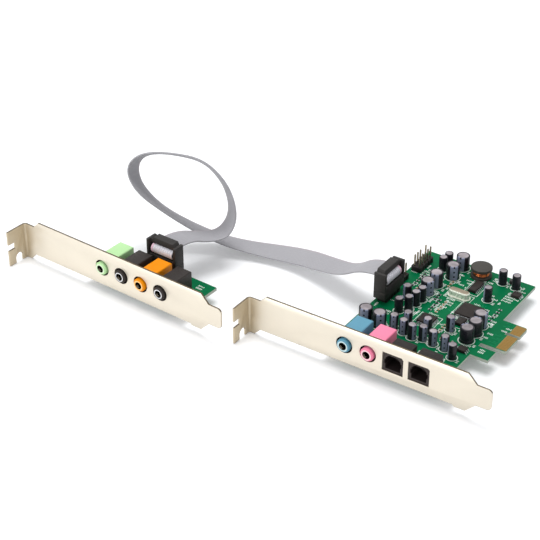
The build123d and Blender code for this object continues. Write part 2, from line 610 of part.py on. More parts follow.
def route_stations():
    """All points of the cable's route with the direction of its width, from plug to plug."""
    exit_z = HEADER_TOP + RIBBON_HIGH + RIBBON_THICKNESS / 2
    small_end = SMALL_CARD * Pos(SMALL_PLUG_X, SMALL_PLUG_Y + PLUG_WIDTH / 2, exit_z)
    main_end = MAIN_CARD * Pos(MAIN_PLUG_X - PLUG_WIDTH / 2, MAIN_PLUG_Y, exit_z)
    small_lead = small_end * Pos(0, SMALL_LEAD, 0)
    main_lead = main_end * Pos(-MAIN_LEAD, 0, 0)
    first = [(*small_end.position, -SMALL_YAW, 0), (*small_lead.position, SMALL_LEAD_TWIST, 0)]
    last = [(*main_lead.position, 90, 0), (*main_end.position, 90, 0)]
    return first + ROUTE + last


def route_path(points):
    """Straight runs joined by arcs that touch them, with the radius of each arc."""
    radii = []
    for before, corner, after in zip(points, points[1:], points[2:]):
        half_turn = math.radians((corner - before).get_angle(after - corner)) / 2
        shorter = min((corner - before).length, (after - corner).length)
        radii.append(ARC_SHARE * shorter / math.tan(half_turn))
    return FilletPolyline(*points, radius=radii), radii


def between(marks, values, mark):
    """The value at a mark, on a straight line between the marks on both sides of it."""
    for low, high, first, second in zip(marks, marks[1:], values, values[1:]):
        if mark <= high:
            return first + (second - first) * (mark - low) / (high - low)
    return values[-1]


def ribbon():
    """The flat cable, lofted through sections along its route."""
    stations = route_stations()
    points = [Vector(x, y, z) for x, y, z, _, _ in stations]
    path, radii = route_path(points)
    marks = [0.0]
    for start, end in zip(points, points[1:]):
        marks.append(marks[-1] + (end - start).length)
    count = round(path.length / SECTION_STEP)
    sections = []
    for i in range(count + 1):
        tangent = path % (i / count)
        mark = marks[-1] * i / count
        twist = math.radians(between(marks, [station[3] for station in stations], mark))
        tilt = math.radians(between(marks, [station[4] for station in stations], mark))
        across = Vector(math.cos(tilt) * math.cos(twist), -math.cos(tilt) * math.sin(twist), math.sin(tilt))
        across -= tangent * across.dot(tangent)
        plane = Plane(origin=path @ (i / count), x_dir=across, z_dir=tangent)
        sections.append(plane * Rectangle(RIBBON_WIDTH, RIBBON_THICKNESS))
    cable = loft(sections, ruled=True)
    filled = cable.volume / (path.length * RIBBON_WIDTH * RIBBON_THICKNESS)
    print("ribbon route", round(path.length, 1), "mm, arc radii", [round(radius, 1) for radius in radii])
    print("ribbon volume over section times length", round(filled, 3))
    return cable


def can(diameter):
    """An electrolytic capacitor standing on the board, with its sleeve shrunk in over the top edge."""
    body = rod(diameter / 2, (0, 0, BOARD_TOP), CAN_HEIGHT, (0, 0, 1))
    return chamfer(body.edges().sort_by(Axis.Z)[-1], CAN_EDGE)


def gull_lead(start, width, reach):
    """One bent lead, drawn down along X from the side of a chip at start, with its foot on the board."""
    high = CHIP_STANDOFF + CHIP_THICKNESS / 2
    knee = start + reach / 2
    foot = start + reach
    t = LEAD_THICKNESS
    points = [(start, high), (knee, t), (foot, t), (foot, 0), (knee - t, 0), (start, high - 2 * t)]
    return prism([(x, -width / 2, z) for x, z in points], (0, 1, 0), width)


def quad_chip(side):
    """A square chip body with a bevelled pin-one corner."""
    body = Pos(0, 0, CHIP_STANDOFF + CHIP_THICKNESS / 2) * Box(side, side, CHIP_THICKNESS)
    corner = body.edges().filter_by(Axis.Z).sort_by_distance((-side, side, 0))[0]
    return chamfer(corner, PIN_ONE_BEVEL)


def quad_leads(side, count):
    """Leads on all four sides of a square chip, so many on each."""
    leads = []
    lead = gull_lead(side / 2, QUAD_LEAD_WIDTH, QUAD_LEAD_REACH)
    for turn in (0, 90, 180, 270):
        for i in range(count):
            shift = (i - (count - 1) / 2) * QUAD_LEAD_PITCH
            leads.append(Rot(0, 0, turn) * Pos(0, shift, 0) * lead)
    return leads


def small_chip_length(pins_per_side):
    return (pins_per_side - 1) * SMALL_LEAD_PITCH + CHIP_PIN_MARGIN


def small_chip(pins_per_side):
    """A narrow chip body with its long side along Y."""
    size = (SMALL_CHIP_WIDTH, small_chip_length(pins_per_side), CHIP_THICKNESS)
    body = Pos(0, 0, CHIP_STANDOFF + CHIP_THICKNESS / 2) * Box(*size)
    upper = body.faces().sort_by(Axis.Z)[-1].edges().filter_by(Axis.Y)
    return chamfer(upper, SMALL_CHIP_BEVEL)


def small_chip_leads(pins_per_side):
    """Leads on the two long sides of a narrow chip."""
    lead = gull_lead(SMALL_CHIP_WIDTH / 2, SMALL_LEAD_WIDTH, SMALL_LEAD_REACH)
    leads = []
    for turn in (0, 180):
        for i in range(pins_per_side):
            shift = (i - (pins_per_side - 1) / 2) * SMALL_LEAD_PITCH
            leads.append(Rot(0, 0, turn) * Pos(0, shift, 0) * lead)
    return leads


def crystal():
    """The crystal: a drawn can with round ends on a wider flange."""
    flange_length, flange_width = CRYSTAL_LENGTH + 2 * CRYSTAL_FLANGE, CRYSTAL_WIDTH + 2 * CRYSTAL_FLANGE
    flange = extrude(SlotOverall(flange_length, flange_width), amount=CRYSTAL_FLANGE_HEIGHT)
    shell = extrude(SlotOverall(CRYSTAL_LENGTH, CRYSTAL_WIDTH), amount=CRYSTAL_HEIGHT)
    return flange + chamfer(shell.faces().sort_by(Axis.Z)[-1].edges(), CRYSTAL_FLANGE)


def inductor_core():
    """A ferrite drum: two flanges on a hub."""
    drum = Cylinder(INDUCTOR_DIAMETER / 2, INDUCTOR_HEIGHT, align=(Align.CENTER, Align.CENTER, Align.MIN))
    window = INDUCTOR_HEIGHT - 2 * INDUCTOR_FLANGE
    groove = rod(INDUCTOR_DIAMETER, (0, 0, INDUCTOR_FLANGE), window, (0, 0, 1))
    return drum - (groove - rod(INDUCTOR_HUB / 2, (0, 0, 0), INDUCTOR_HEIGHT, (0, 0, 1)))


def inductor_winding():
    """The copper winding in the drum's groove."""
    low = INDUCTOR_FLANGE + WINDING_CLEARANCE
    length = INDUCTOR_HEIGHT - 2 * low
    coil = rod(WINDING_DIAMETER / 2, (0, 0, low), length, (0, 0, 1))
    return coil - rod(INDUCTOR_HUB / 2 + WINDING_CLEARANCE, (0, 0, 0), INDUCTOR_HEIGHT, (0, 0, 1))


def row_places(rows, counts):
    """Centres of chip parts laid out in rows, with the way each lies across its row."""
    places = []
    for (x, y, step_x, step_y), count in zip(rows, counts):
        turn = 90 if step_x else 0
        places += [(x + i * step_x, y + i * step_y, turn) for i in range(count)]
    return places


def chip_bodies(places):
    """Ceramic bodies of chip parts between their end caps."""
    length = CHIP_LENGTH - 2 * CHIP_CAP
    body = Pos(0, 0, CHIP_HEIGHT / 2) * Box(length, CHIP_WIDTH, CHIP_HEIGHT)
    return [Pos(x, y, BOARD_TOP) * Rot(0, 0, turn) * body for x, y, turn in places]


def chip_caps(places):
    """Tinned end caps of chip parts."""
    caps = []
    cap = Box(CHIP_CAP, CHIP_WIDTH, CHIP_HEIGHT)
    for x, y, turn in places:
        for side in (-1, 1):
            shift = side * (CHIP_LENGTH - CHIP_CAP) / 2
            caps.append(Pos(x, y, BOARD_TOP) * Rot(0, 0, turn) * Pos(shift, 0, CHIP_HEIGHT / 2) * cap)
    return caps


def solder_joints(places):
    """Tapered solder joints under a board."""
    pad, tip = JOINT_SIDE / 2, JOINT_TIP / 2
    corners = [(-pad, -pad, 0), (pad, -pad, 0), (tip, -pad, -JOINT_HEIGHT), (-tip, -pad, -JOINT_HEIGHT)]
    wedge = prism(corners, (0, 1, 0), JOINT_SIDE)
    joint = wedge & Rot(0, 0, 90) * wedge
    return [Pos(x, y, BOARD_UNDERSIDE) * joint for x, y in places]


def turned(places, centre, quarter_turn):
    """Header pin places moved to the header's centre, along Y where it is turned a quarter."""
    x0, y0 = centre
    return [(x0 - y, y0 + x) if quarter_turn else (x0 + x, y0 + y) for x, y in places]


def main_joints():
    """Places of all solder joints under the main board."""
    places = turned(pin_grid(PLUG_PINS, 2), (MAIN_PLUG_X, MAIN_PLUG_Y), True)
    places += turned(pin_grid(FRONT_HEADER_ROWS, 2), FRONT_HEADER, True)
    places += turned(pin_grid(JUMPER_PINS, 1), JUMPER_HEADER, True)
    for cans, span in ((LARGE_PLACES, LARGE_LEAD_SPAN), (SMALL_PLACES, SMALL_LEAD_SPAN)):
        places += [(x + side * span / 2, y) for x, y in cans for side in (-1, 1)]
    for x in MAIN_JACKS_X:
        places += [(x + dx, SHEET + dy) for dx, dy in JACK_TAILS]
    for x in PORTS_X:
        places += [(x + dx, SHEET + dy) for dx, dy in PORT_TAILS]
    return places


def small_joints():
    """Places of all solder joints under the jack card's board."""
    places = turned(pin_grid(PLUG_PINS, 2), (SMALL_PLUG_X, SMALL_PLUG_Y), False)
    for x in SMALL_JACKS_X:
        places += [(x + dx, SHEET + dy) for dx, dy in JACK_TAILS]
    return places


def placed(place, shapes):
    """One shape or a list of shapes moved to a place, as a list."""
    shapes = shapes if isinstance(shapes, list) else [shapes]
    return [place * shape for shape in shapes]


def save(node, shapes):
    """Writes one node: a single solid, or a group of separate solids."""
    solids = [solid for shape in shapes for solid in shape.solids()]
    export_step(solids[0] if len(solids) == 1 else Compound(children=solids), f"parts/{node}.step")


def on_main(node, shapes, x=0.0, y=0.0, z=0.0, turn=0.0):
    save(node, placed(MAIN_CARD * Pos(x, y, z) * Rot(0, 0, turn), shapes))


def on_small(node, shapes, x=0.0, y=0.0, z=0.0):
    save(node, placed(SMALL_CARD * Pos(x, y, z), shapes))


os.makedirs("parts", exist_ok=True)

on_main("main_bracket", bracket(MAIN_JACKS_X, PORTS_X, MAIN_EARS_X))
on_main("main_bracket_screws", screws(MAIN_EARS_X))
on_main("main_circuit_board", main_board())
on_main("edge_contacts", edge_contacts())
on_main("line_input_jack", jack(MAIN_JACKS_X[0], False))
on_main("microphone_jack", jack(MAIN_JACKS_X[1], False))
on_main("main_jack_contacts", [jack_contact(x) for x in MAIN_JACKS_X])
for name, x in zip(("optical_output", "optical_input"), PORTS_X):
    on_main(f"{name}_housing", optical_housing(x))
    on_main(f"{name}_module", optical_module(x))
quad_chips = (("audio_controller", CONTROLLER_SIDE, CONTROLLER_LEADS, CONTROLLER_PLACE),
              ("codec", CODEC_SIDE, CODEC_LEADS, CODEC_PLACE))
for name, side, count, (x, y) in quad_chips:
    on_main(f"{name}_chip", quad_chip(side), x, y, BOARD_TOP)
    on_main(f"{name}_leads", quad_leads(side, count), x, y, BOARD_TOP)
small_bodies, small_leads = [], []
for (x, y), pins in zip(SMALL_CHIP_PLACES, SMALL_CHIP_PINS):
    small_bodies += placed(Pos(x, y, BOARD_TOP), small_chip(pins))
    small_leads += placed(Pos(x, y, BOARD_TOP), small_chip_leads(pins))
on_main("small_chips", small_bodies)
on_main("small_chip_leads", small_leads)
on_main("crystal", crystal(), *CRYSTAL_PLACE, BOARD_TOP)
on_main("inductor_core", inductor_core(), *INDUCTOR_PLACE, BOARD_TOP)
on_main("inductor_winding", inductor_winding(), *INDUCTOR_PLACE, BOARD_TOP)
on_main("bead", rod(BEAD_DIAMETER / 2, (*BEAD_PLACE, BOARD_TOP), BEAD_HEIGHT, (0, 0, 1)))
on_main("large_capacitors", [Pos(x, y, 0) * can(LARGE_DIAMETER) for x, y in LARGE_PLACES])
on_main("small_capacitors", [Pos(x, y, 0) * can(SMALL_DIAMETER) for x, y in SMALL_PLACES])
resistor_places = row_places(RESISTOR_ROWS, RESISTOR_COUNTS)
capacitor_places = row_places(CAPACITOR_ROWS, CAPACITOR_COUNTS)
on_main("chip_resistors", chip_bodies(resistor_places))
on_main("chip_capacitors", chip_bodies(capacitor_places))
on_main("chip_end_caps", chip_caps(resistor_places + capacitor_places))
on_main("front_audio_header", header_base(FRONT_HEADER_ROWS, 2), *FRONT_HEADER, BOARD_TOP, 90)
front_pins = header_pins(FRONT_HEADER_ROWS, 2, (FRONT_HEADER_KEY,))
on_main("front_audio_pins", front_pins, *FRONT_HEADER, BOARD_TOP, 90)
on_main("jumper_header", header_base(JUMPER_PINS, 1), *JUMPER_HEADER, BOARD_TOP, 90)
on_main("jumper_pins", header_pins(JUMPER_PINS, 1), *JUMPER_HEADER, BOARD_TOP, 90)
on_main("main_solder_joints", solder_joints(main_joints()))

on_small("jack_bracket", bracket(SMALL_JACKS_X, [], SMALL_EARS_X))
on_small("jack_bracket_screws", screws(SMALL_EARS_X))
on_small("jack_circuit_board", small_board())
small_jacks = ("front_speaker_jack", "rear_speaker_jack", "centre_speaker_jack", "side_speaker_jack")
black_jacks = ("rear_speaker_jack", "side_speaker_jack")
for name, x in zip(small_jacks, SMALL_JACKS_X):
    on_small(name, jack(x, name in black_jacks))
rim_places = [x for name, x in zip(small_jacks, SMALL_JACKS_X) if name in black_jacks]
on_small("black_jack_rims", [jack_rim(x) for x in rim_places])
on_small("jack_card_contacts", [jack_contact(x) for x in SMALL_JACKS_X])
on_small("jack_card_solder_joints", solder_joints(small_joints()))

plugs = (("main", on_main, MAIN_PLUG_X, MAIN_PLUG_Y, (90,)),
         ("jack_card", on_small, SMALL_PLUG_X, SMALL_PLUG_Y, ()))
for name, put, x, y, turn in plugs:
    put(f"{name}_ribbon_header", header_base(PLUG_PINS, 2), x, y, BOARD_TOP, *turn)
    put(f"{name}_ribbon_pins", header_pins(PLUG_PINS, 2), x, y, BOARD_TOP, *turn)
    put(f"{name}_plug_socket", plug_socket(), x, y, HEADER_TOP, *turn)
    put(f"{name}_plug_contacts", plug_contacts(), x, y, HEADER_TOP, *turn)
    put(f"{name}_plug_cover", plug_cover(), x, y, HEADER_TOP, *turn)
    put(f"{name}_plug_strain_relief", plug_strain_relief(), x, y, HEADER_TOP, *turn)
    put(f"{name}_ribbon_fold", plug_fold(), x, y, HEADER_TOP, *turn)
save("ribbon_cable", [ribbon()])
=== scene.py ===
# %% [markdown]
# # A sound card and its jack card
# This lesson dresses two small computer cards that a grey ribbon joins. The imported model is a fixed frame:
# every piece below is made in metres, at the place where the frame has it, and nothing is moved afterwards.

# %% Load the frame
import json
import math
import random

import bmesh
import bpy
from mathutils import Matrix, Vector


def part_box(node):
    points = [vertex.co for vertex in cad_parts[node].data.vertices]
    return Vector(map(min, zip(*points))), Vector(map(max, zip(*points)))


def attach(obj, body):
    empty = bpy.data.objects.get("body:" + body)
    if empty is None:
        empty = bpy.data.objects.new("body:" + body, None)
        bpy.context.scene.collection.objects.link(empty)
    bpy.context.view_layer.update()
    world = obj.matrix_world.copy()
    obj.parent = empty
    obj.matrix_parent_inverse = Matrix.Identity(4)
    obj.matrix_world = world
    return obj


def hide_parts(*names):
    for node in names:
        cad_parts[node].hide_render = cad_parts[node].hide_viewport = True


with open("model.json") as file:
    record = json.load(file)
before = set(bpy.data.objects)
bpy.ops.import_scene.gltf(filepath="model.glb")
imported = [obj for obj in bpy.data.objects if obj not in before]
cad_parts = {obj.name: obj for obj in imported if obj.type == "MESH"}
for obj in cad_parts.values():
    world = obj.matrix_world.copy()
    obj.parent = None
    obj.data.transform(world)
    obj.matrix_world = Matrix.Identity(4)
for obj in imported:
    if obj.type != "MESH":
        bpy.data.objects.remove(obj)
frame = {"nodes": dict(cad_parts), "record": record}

MM = 0.001
scene = bpy.context.scene
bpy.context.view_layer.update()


def in_mm(values):
    """Metres as rounded millimetres, for printing."""
    return [round(value / MM, 1) for value in values]


# %% [markdown]
# ## Camera
# The cards lie on a white table and are seen from the front right, from well above. A long lens far away
# keeps the brackets' edges almost parallel. The view could be found by eye, but brackets of a standard length
# fix it, so its direction and distance were worked out from their edges and corners.

# %% Camera
AZIMUTH = math.radians(34.2)
ELEVATION = math.radians(32.44)
LENS = 100.1
CAMERA_PLACE = Vector((0.31961, -0.48711, 0.38161))


def new_object(name, data):
    """An object that holds the data, linked into the scene."""
    made = bpy.data.objects.new(name, data)
    scene.collection.objects.link(made)
    return made


def aim(thing, place, direction):
    """Puts a camera or a lamp at a place and points it in a direction."""
    thing.location = place
    thing.rotation_mode = "QUATERNION"
    thing.rotation_quaternion = direction.to_track_quat("-Z", "Y")


towards_camera = Vector((math.sin(AZIMUTH) * math.cos(ELEVATION),
                         -math.cos(AZIMUTH) * math.cos(ELEVATION),
                         math.sin(ELEVATION)))
camera = new_object("table_camera", bpy.data.cameras.new("table_camera"))
camera.data.lens = LENS
aim(camera, CAMERA_PLACE, -towards_camera)
scene.camera = camera
scene.view_settings.view_transform = "Standard"
print("camera in mm", in_mm(CAMERA_PLACE), "lens", LENS)

# %% [markdown]
# ## Light and table
# A product shot on white paper has light from all sides and one broad lamp overhead. The world gives the
# even part. To the camera, to mirrors and to glass it is plain white, and to everything else it is dimmer,
# so that the paper's white doesn't over-light the object. The table is pale paper with a little glow that
# only those rays see, which lifts it to white and leaves the soft shadows in it. Nodes and their links could
# be set one by one, but three small functions keep every tree below short.

# %% Node helpers and the world
WORLD_LEVEL = 0.5


def add_node(tree, kind, values=None, **settings):
    """A new node, with its settings made first and then the values of its inputs."""
    node = tree.nodes.new(kind)
    for name, value in settings.items():
        setattr(node, name, value)
    for title, value in (values or {}).items():
        node.inputs[title].default_value = value
    return node


def wire(tree, *links):
    """Joins nodes: each link is a node, its output, the next node and its input."""
    for node, output, other, title in links:
        tree.links.new(node.outputs[output], other.inputs[title])


def calc(tree, operation, *values, clamp=False):
    """The result of a sum on values, each a socket or a plain number."""
    node = add_node(tree, "ShaderNodeMath", operation=operation, use_clamp=clamp)
    for socket, value in zip(node.inputs, values):
        if isinstance(value, float):
            socket.default_value = value
        else:
            tree.links.new(value, socket)
    return node.outputs[0]


def seen_directly(tree, dim, bright):
    """A level that is bright to camera, mirror and glass rays, and dim to the rest."""
    rays = add_node(tree, "ShaderNodeLightPath").outputs
    direct = calc(tree, "MAXIMUM", rays["Is Camera Ray"], rays["Is Glossy Ray"])
    direct = calc(tree, "MAXIMUM", direct, rays["Is Transmission Ray"])
    level = add_node(tree, "ShaderNodeMapRange", {"To Min": dim, "To Max": bright})
    tree.links.new(direct, level.inputs["Value"])
    return level


world = bpy.data.worlds.new("white_studio")
world.use_nodes = True
background = world.node_tree.nodes["Background"]
background.inputs["Color"].default_value = (1, 1, 1, 1)
wire(world.node_tree, (seen_directly(world.node_tree, WORLD_LEVEL, 1.0), "Result", background, "Strength"))
scene.world = world
print("world level", WORLD_LEVEL)

# %% Table and lamps
TABLE_SIDE = 6.0
TABLE_DROP = 0.0002
TABLE_GLOW = 0.2
PAPER = (0.86, 0.87, 0.89, 1)
# Each lamp with its place, side and power
LAMPS = [("overhead_box", (-0.2, 0.22, 1.25), 0.7, 11.0), ("front_box", (-0.4, -1.25, 0.5), 0.9, 8.0)]
LAMP_TARGET = Vector((-0.02, 0.0, 0.0))


def paper_table():
    half = TABLE_SIDE / 2
    corners = [(-half, -half), (half, -half), (half, half), (-half, half)]
    mesh = bpy.data.meshes.new("paper_table")
    mesh.from_pydata([(x, y, -TABLE_DROP) for x, y in corners], [], [(0, 1, 2, 3)])
    table = new_object("paper_table", mesh)
    paper = bpy.data.materials.new("paper")
    paper.use_nodes = True
    tree = paper.node_tree
    tree.nodes.clear()
    diffuse = add_node(tree, "ShaderNodeBsdfDiffuse", {"Color": PAPER})
    glow = add_node(tree, "ShaderNodeEmission")
    both = add_node(tree, "ShaderNodeAddShader")
    output = add_node(tree, "ShaderNodeOutputMaterial")
    wire(tree, (seen_directly(tree, 0.0, TABLE_GLOW), "Result", glow, "Strength"), (diffuse, 0, both, 0),
         (glow, 0, both, 1), (both, 0, output, "Surface"))
    mesh.materials.append(paper)


def soft_box(name, place, side, power):
    """A square lamp that faces the cards."""
    data = bpy.data.lights.new(name, "AREA")
    data.shape = "SQUARE"
    data.size = side
    data.energy = power
    aim(new_object(name, data), place, LAMP_TARGET - Vector(place))


paper_table()
for row in LAMPS:
    soft_box(*row)
print("table and", len(LAMPS), "soft boxes")

# %% [markdown]
# ## Shared surface effects
# Moulded plastic, plated sheet and ink all show two things from close by: a fine grain that breaks up the
# gloss, and a slow drift of tone. Each could be drawn anew in every finish, but a node group is made once
# and placed with its own values. A third group gives the long strokes that rolling leaves in sheet metal.

# %% Shader groups


def new_group(name, inputs, outputs, kind="ShaderNodeTree"):
    """An empty node group with named inputs and outputs, each with the kind of its socket."""
    group = bpy.data.node_groups.new(name, kind)
    for in_out, sockets in (("INPUT", inputs), ("OUTPUT", outputs)):
        for title, socket in sockets.items():
            group.interface.new_socket(title, in_out=in_out, socket_type="NodeSocket" + socket)
    return group, add_node(group, "NodeGroupInput"), add_node(group, "NodeGroupOutput")


def fine_grain_group():
    inputs = {"Vector": "Vector", "Scale": "Float", "Smooth": "Float", "Rough": "Float"}
    group, given, made = new_group("fine_grain", inputs, {"Roughness": "Float", "Height": "Float"})
    noise = add_node(group, "ShaderNodeTexNoise", {"Detail": 3.0})
    spread = add_node(group, "ShaderNodeMapRange", {"From Min": 0.3, "From Max": 0.7})
    wire(group, (given, "Vector", noise, "Vector"), (given, "Scale", noise, "Scale"),
         (noise, "Fac", spread, "Value"), (given, "Smooth", spread, "To Min"),
         (given, "Rough", spread, "To Max"), (spread, "Result", made, "Roughness"),
         (noise, "Fac", made, "Height"))
    return group


def tone_drift_group():
    inputs = {"Vector": "Vector", "Colour": "Color", "Scale": "Float", "Drift": "Float"}
    group, given, made = new_group("tone_drift", inputs, {"Colour": "Color"})
    noise = add_node(group, "ShaderNodeTexNoise", {"Detail": 4.0})
    centred = calc(group, "SUBTRACT", noise.outputs["Fac"], 0.5)
    scaled = calc(group, "MULTIPLY_ADD", centred, given.outputs["Drift"], 1.0)
    value = add_node(group, "ShaderNodeHueSaturation")
    group.links.new(scaled, value.inputs["Value"])
    wire(group, (given, "Vector", noise, "Vector"), (given, "Scale", noise, "Scale"),
         (given, "Colour", value, "Color"), (value, "Color", made, "Colour"))
    return group


def rolled_strokes_group():
    group, given, made = new_group("rolled_strokes", {"Vector": "Vector", "Stretch": "Vector"},
                                   {"Height": "Float"})
    stretched = add_node(group, "ShaderNodeMapping")
    noise = add_node(group, "ShaderNodeTexNoise", {"Scale": 1.0, "Detail": 5.0})
    wire(group, (given, "Vector", stretched, "Vector"), (given, "Stretch", stretched, "Scale"),
         (stretched, "Vector", noise, "Vector"), (noise, "Fac", made, "Height"))
    return group


GRAIN = fine_grain_group()
DRIFT = tone_drift_group()
STROKES = rolled_strokes_group()
print("shader groups", GRAIN.name, DRIFT.name, STROKES.name)

# %% [markdown]
# ## Plain finishes
# Most pieces are moulded, plated or tinned, so one function makes all these finishes: a colour that drifts,
# a roughness that the grain breaks up, and a shallow bump from the same grain. The colours are written in
# ordinary screen values and turned into the linear values that a shader wants.

# %% The finish function
BUMP_DEPTH = 0.00006
MATERIALS = {}


def linear(red, green, blue):
    """Screen colour, 0 to 255, as linear light."""
    return tuple(((value / 255 + 0.055) / 1.055) ** 2.4 if value > 10 else value / 255 / 12.92
                 for value in (red, green, blue)) + (1.0,)


def place_group(tree, group, **values):
    """Puts a group into a material on Object coordinates, with its other inputs set."""
    node = add_node(tree, "ShaderNodeGroup", values, node_tree=group)
    wire(tree, (add_node(tree, "ShaderNodeTexCoord"), "Object", node, "Vector"))
    return node


def finish(name, colour, smooth, rough, metallic=0.0, grain=900.0, bump=0.12, drift=0.3, drift_scale=120.0,
           sheen=0.5):
    """A material with drifting tone, broken gloss and a fine bump, kept by its name."""
    material = MATERIALS[name] = bpy.data.materials.new(name)
    material.use_nodes = True
    tree = material.node_tree
    shader = tree.nodes["Principled BSDF"]
    shader.inputs["Metallic"].default_value = metallic
    shader.inputs["Specular IOR Level"].default_value = sheen
    tone = place_group(tree, DRIFT, Colour=linear(*colour), Scale=drift_scale, Drift=drift)
    gloss = place_group(tree, GRAIN, Scale=grain, Smooth=smooth, Rough=rough)
    relief = add_node(tree, "ShaderNodeBump", {"Strength": bump, "Distance": BUMP_DEPTH})
    wire(tree, (tone, "Colour", shader, "Base Color"), (gloss, "Roughness", shader, "Roughness"),
         (gloss, "Height", relief, "Height"), (relief, "Normal", shader, "Normal"))
    return material


print("middle grey as linear light", round(linear(128, 128, 128)[0], 3))

# %% Plain finishes: colour, smoothest and roughest gloss, metal
finish("screw_steel", (205, 200, 190), 0.25, 0.4, 1.0)
finish("gold_plate", (138, 109, 55), 0.34, 0.5, 1.0, drift=0.2)
finish("jack_blue", (88, 150, 176), 0.38, 0.5, drift=0.1, sheen=0.4)
finish("jack_pink", (248, 134, 168), 0.38, 0.5, drift=0.1, sheen=0.4)
finish("jack_green", (184, 230, 166), 0.38, 0.5, drift=0.1)
finish("jack_orange", (242, 145, 0), 0.38, 0.5, drift=0.1, sheen=0.15)
finish("jack_black", (50, 45, 43), 0.4, 0.55, sheen=0.2)
finish("jack_ring", (224, 224, 226), 0.2, 0.34, 0.8, bump=0.05)
finish("contact_metal", (226, 214, 190), 0.22, 0.34, 0.4, bump=0.05)
finish("port_black", (32, 26, 25), 0.4, 0.6, sheen=0.2)
finish("chip_black", (46, 41, 39), 0.5, 0.7, grain=2500.0, bump=0.2, drift=0.8, drift_scale=420.0, sheen=0.15)
finish("resistor_black", (34, 31, 32), 0.35, 0.5)
finish("ceramic_tan", (176, 146, 110), 0.45, 0.6)
# The can's faint green is a painted reflection of the board, the top's darker tone a painted reflection, the
# flange's brightness a painted highlight
finish("crystal_can", (226, 232, 216), 0.24, 0.32, 0.5, bump=0.02, drift=0.1)
finish("crystal_top_reflection", (150, 138, 120), 0.3, 0.4, 0.9, drift=0.9, drift_scale=800.0)
finish("crystal_flange_highlight", (246, 244, 232), 0.3, 0.4, 0.3, drift=0.1)
finish("ferrite", (58, 55, 51), 0.45, 0.65, grain=2200.0, bump=0.3, sheen=0.3)
finish("copper", (198, 116, 68), 0.16, 0.26, 1.0)
finish("header_black", (34, 31, 31), 0.4, 0.6, sheen=0.2)
finish("plug_black", (49, 47, 46), 0.42, 0.62, grain=1600.0, bump=0.2, sheen=0.2)
finish("solder", (205, 207, 210), 0.2, 0.4, 1.0, drift=0.2)
finish("pin_brass", (152, 141, 122), 0.22, 0.36, 1.0)
finish("can_top", (160, 153, 157), 0.28, 0.42, 0.8, drift=1.8, drift_scale=170.0)
finish("rubber", (28, 27, 28), 0.6, 0.8)
finish("ink", (244, 248, 244), 0.5, 0.7, drift=0.1)
finish("mask_over_copper", (4, 132, 82), 0.34, 0.46, drift=0.2, sheen=0.1)
finish("laminate", (150, 116, 56), 0.45, 0.65, drift=0.2, drift_scale=600.0)
# Bare cut faces of the sheet, darker partly as painted shade along the brackets' edges
finish("cut_edge_and_shade", (96, 84, 66), 0.4, 0.55, 0.8)
# Painted shade: inside the bores and on the jack faces behind the bracket
finish("painted_bore_shade", (20, 15, 14), 0.5, 0.7, sheen=0.1)
finish("port_bezel", (60, 53, 51), 0.45, 0.65, sheen=0.2)
finish("board_green", (0, 106, 64), 0.32, 0.44, drift=0.35, sheen=0.05)
finish("board_edge", (176, 184, 172), 0.6, 0.8, drift_scale=900.0)
print(len(MATERIALS), "plain finishes")

# %% [markdown]
# ## Finishes of two colours
# The brackets are nickel-plated sheet with rolling strokes along their length. Near the fold a darker,
# browner tone is painted shade with a painted reflection of the tab. The capacitor sleeves have a pale stripe
# with minus marks. The ribbon is grey with one faintly pink edge, which shows more in the plugs, where the
# folds take paler copies of both colours as painted light. Each is a plain finish with a second colour behind
# a mask. Stripes follow attributes that the meshes carry, because a pattern in space would cut across bends.

# %% Bracket, sleeve and ribbon finishes
STRIPE_HALF = 0.2
MARK_HALF = 0.04
MARKS_ALONG = 3.0
MARK_SHARE = 0.66
# A darker, browner tone by the fold: painted shade and a painted reflection of the tab, fading along the face
FOLD_SHADE_TONE = (199, 184, 157)
FOLD_SHADE_FROM = 1.5 * MM
FOLD_SHADE_TO = 8.5 * MM
STROKE_STRETCH = (60.0, 900.0, 2600.0)
STROKE_STRENGTH = 0.05


def tint(material, mask_of, second):
    """Mixes a second colour into a finish where a mask says so."""
    tree = material.node_tree
    base = tree.nodes["Principled BSDF"].inputs["Base Color"]
    mix = add_node(tree, "ShaderNodeMix", data_type="RGBA")
    first, other = [socket for socket in mix.inputs if socket.type == "RGBA"]
    other.default_value = linear(*second)
    tree.links.new(base.links[0].from_socket, first)
    tree.links.new(mask_of(tree), mix.inputs["Factor"])
    tree.links.new(next(socket for socket in mix.outputs if socket.type == "RGBA"), base)


def carried(tree, name):
    """The value of an attribute that the mesh carries."""
    return add_node(tree, "ShaderNodeAttribute", attribute_name=name).outputs["Fac"]


def pale_stripe(tree):
    """The stripe down a sleeve, without its minus marks."""
    away = carried(tree, "away")
    part = calc(tree, "FRACT", calc(tree, "MULTIPLY", carried(tree, "along"), MARKS_ALONG))
    mark = calc(tree, "MULTIPLY", calc(tree, "LESS_THAN", away, MARK_HALF),
                calc(tree, "GREATER_THAN", part, MARK_SHARE))
    return calc(tree, "SUBTRACT", calc(tree, "LESS_THAN", away, STRIPE_HALF), mark, clamp=True)


def first_way(tree):
    """The coloured edge of the ribbon."""
    return calc(tree, "LESS_THAN", carried(tree, "way"), 0.5)


def painted_fold_shade(tree, node):
    """Where shade and the tab's reflection are painted on the plating: the tab and a little way along the
    face.
    """
    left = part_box(node)[0].x
    parts = add_node(tree, "ShaderNodeSeparateXYZ")
    fade = add_node(tree, "ShaderNodeMapRange", {"From Min": left + FOLD_SHADE_TO, "From Max": left + FOLD_SHADE_FROM},
                    interpolation_type="SMOOTHSTEP")
    wire(tree, (add_node(tree, "ShaderNodeTexCoord"), "Object", parts, "Vector"), (parts, "X", fade, "Value"))
    return fade.outputs["Result"]


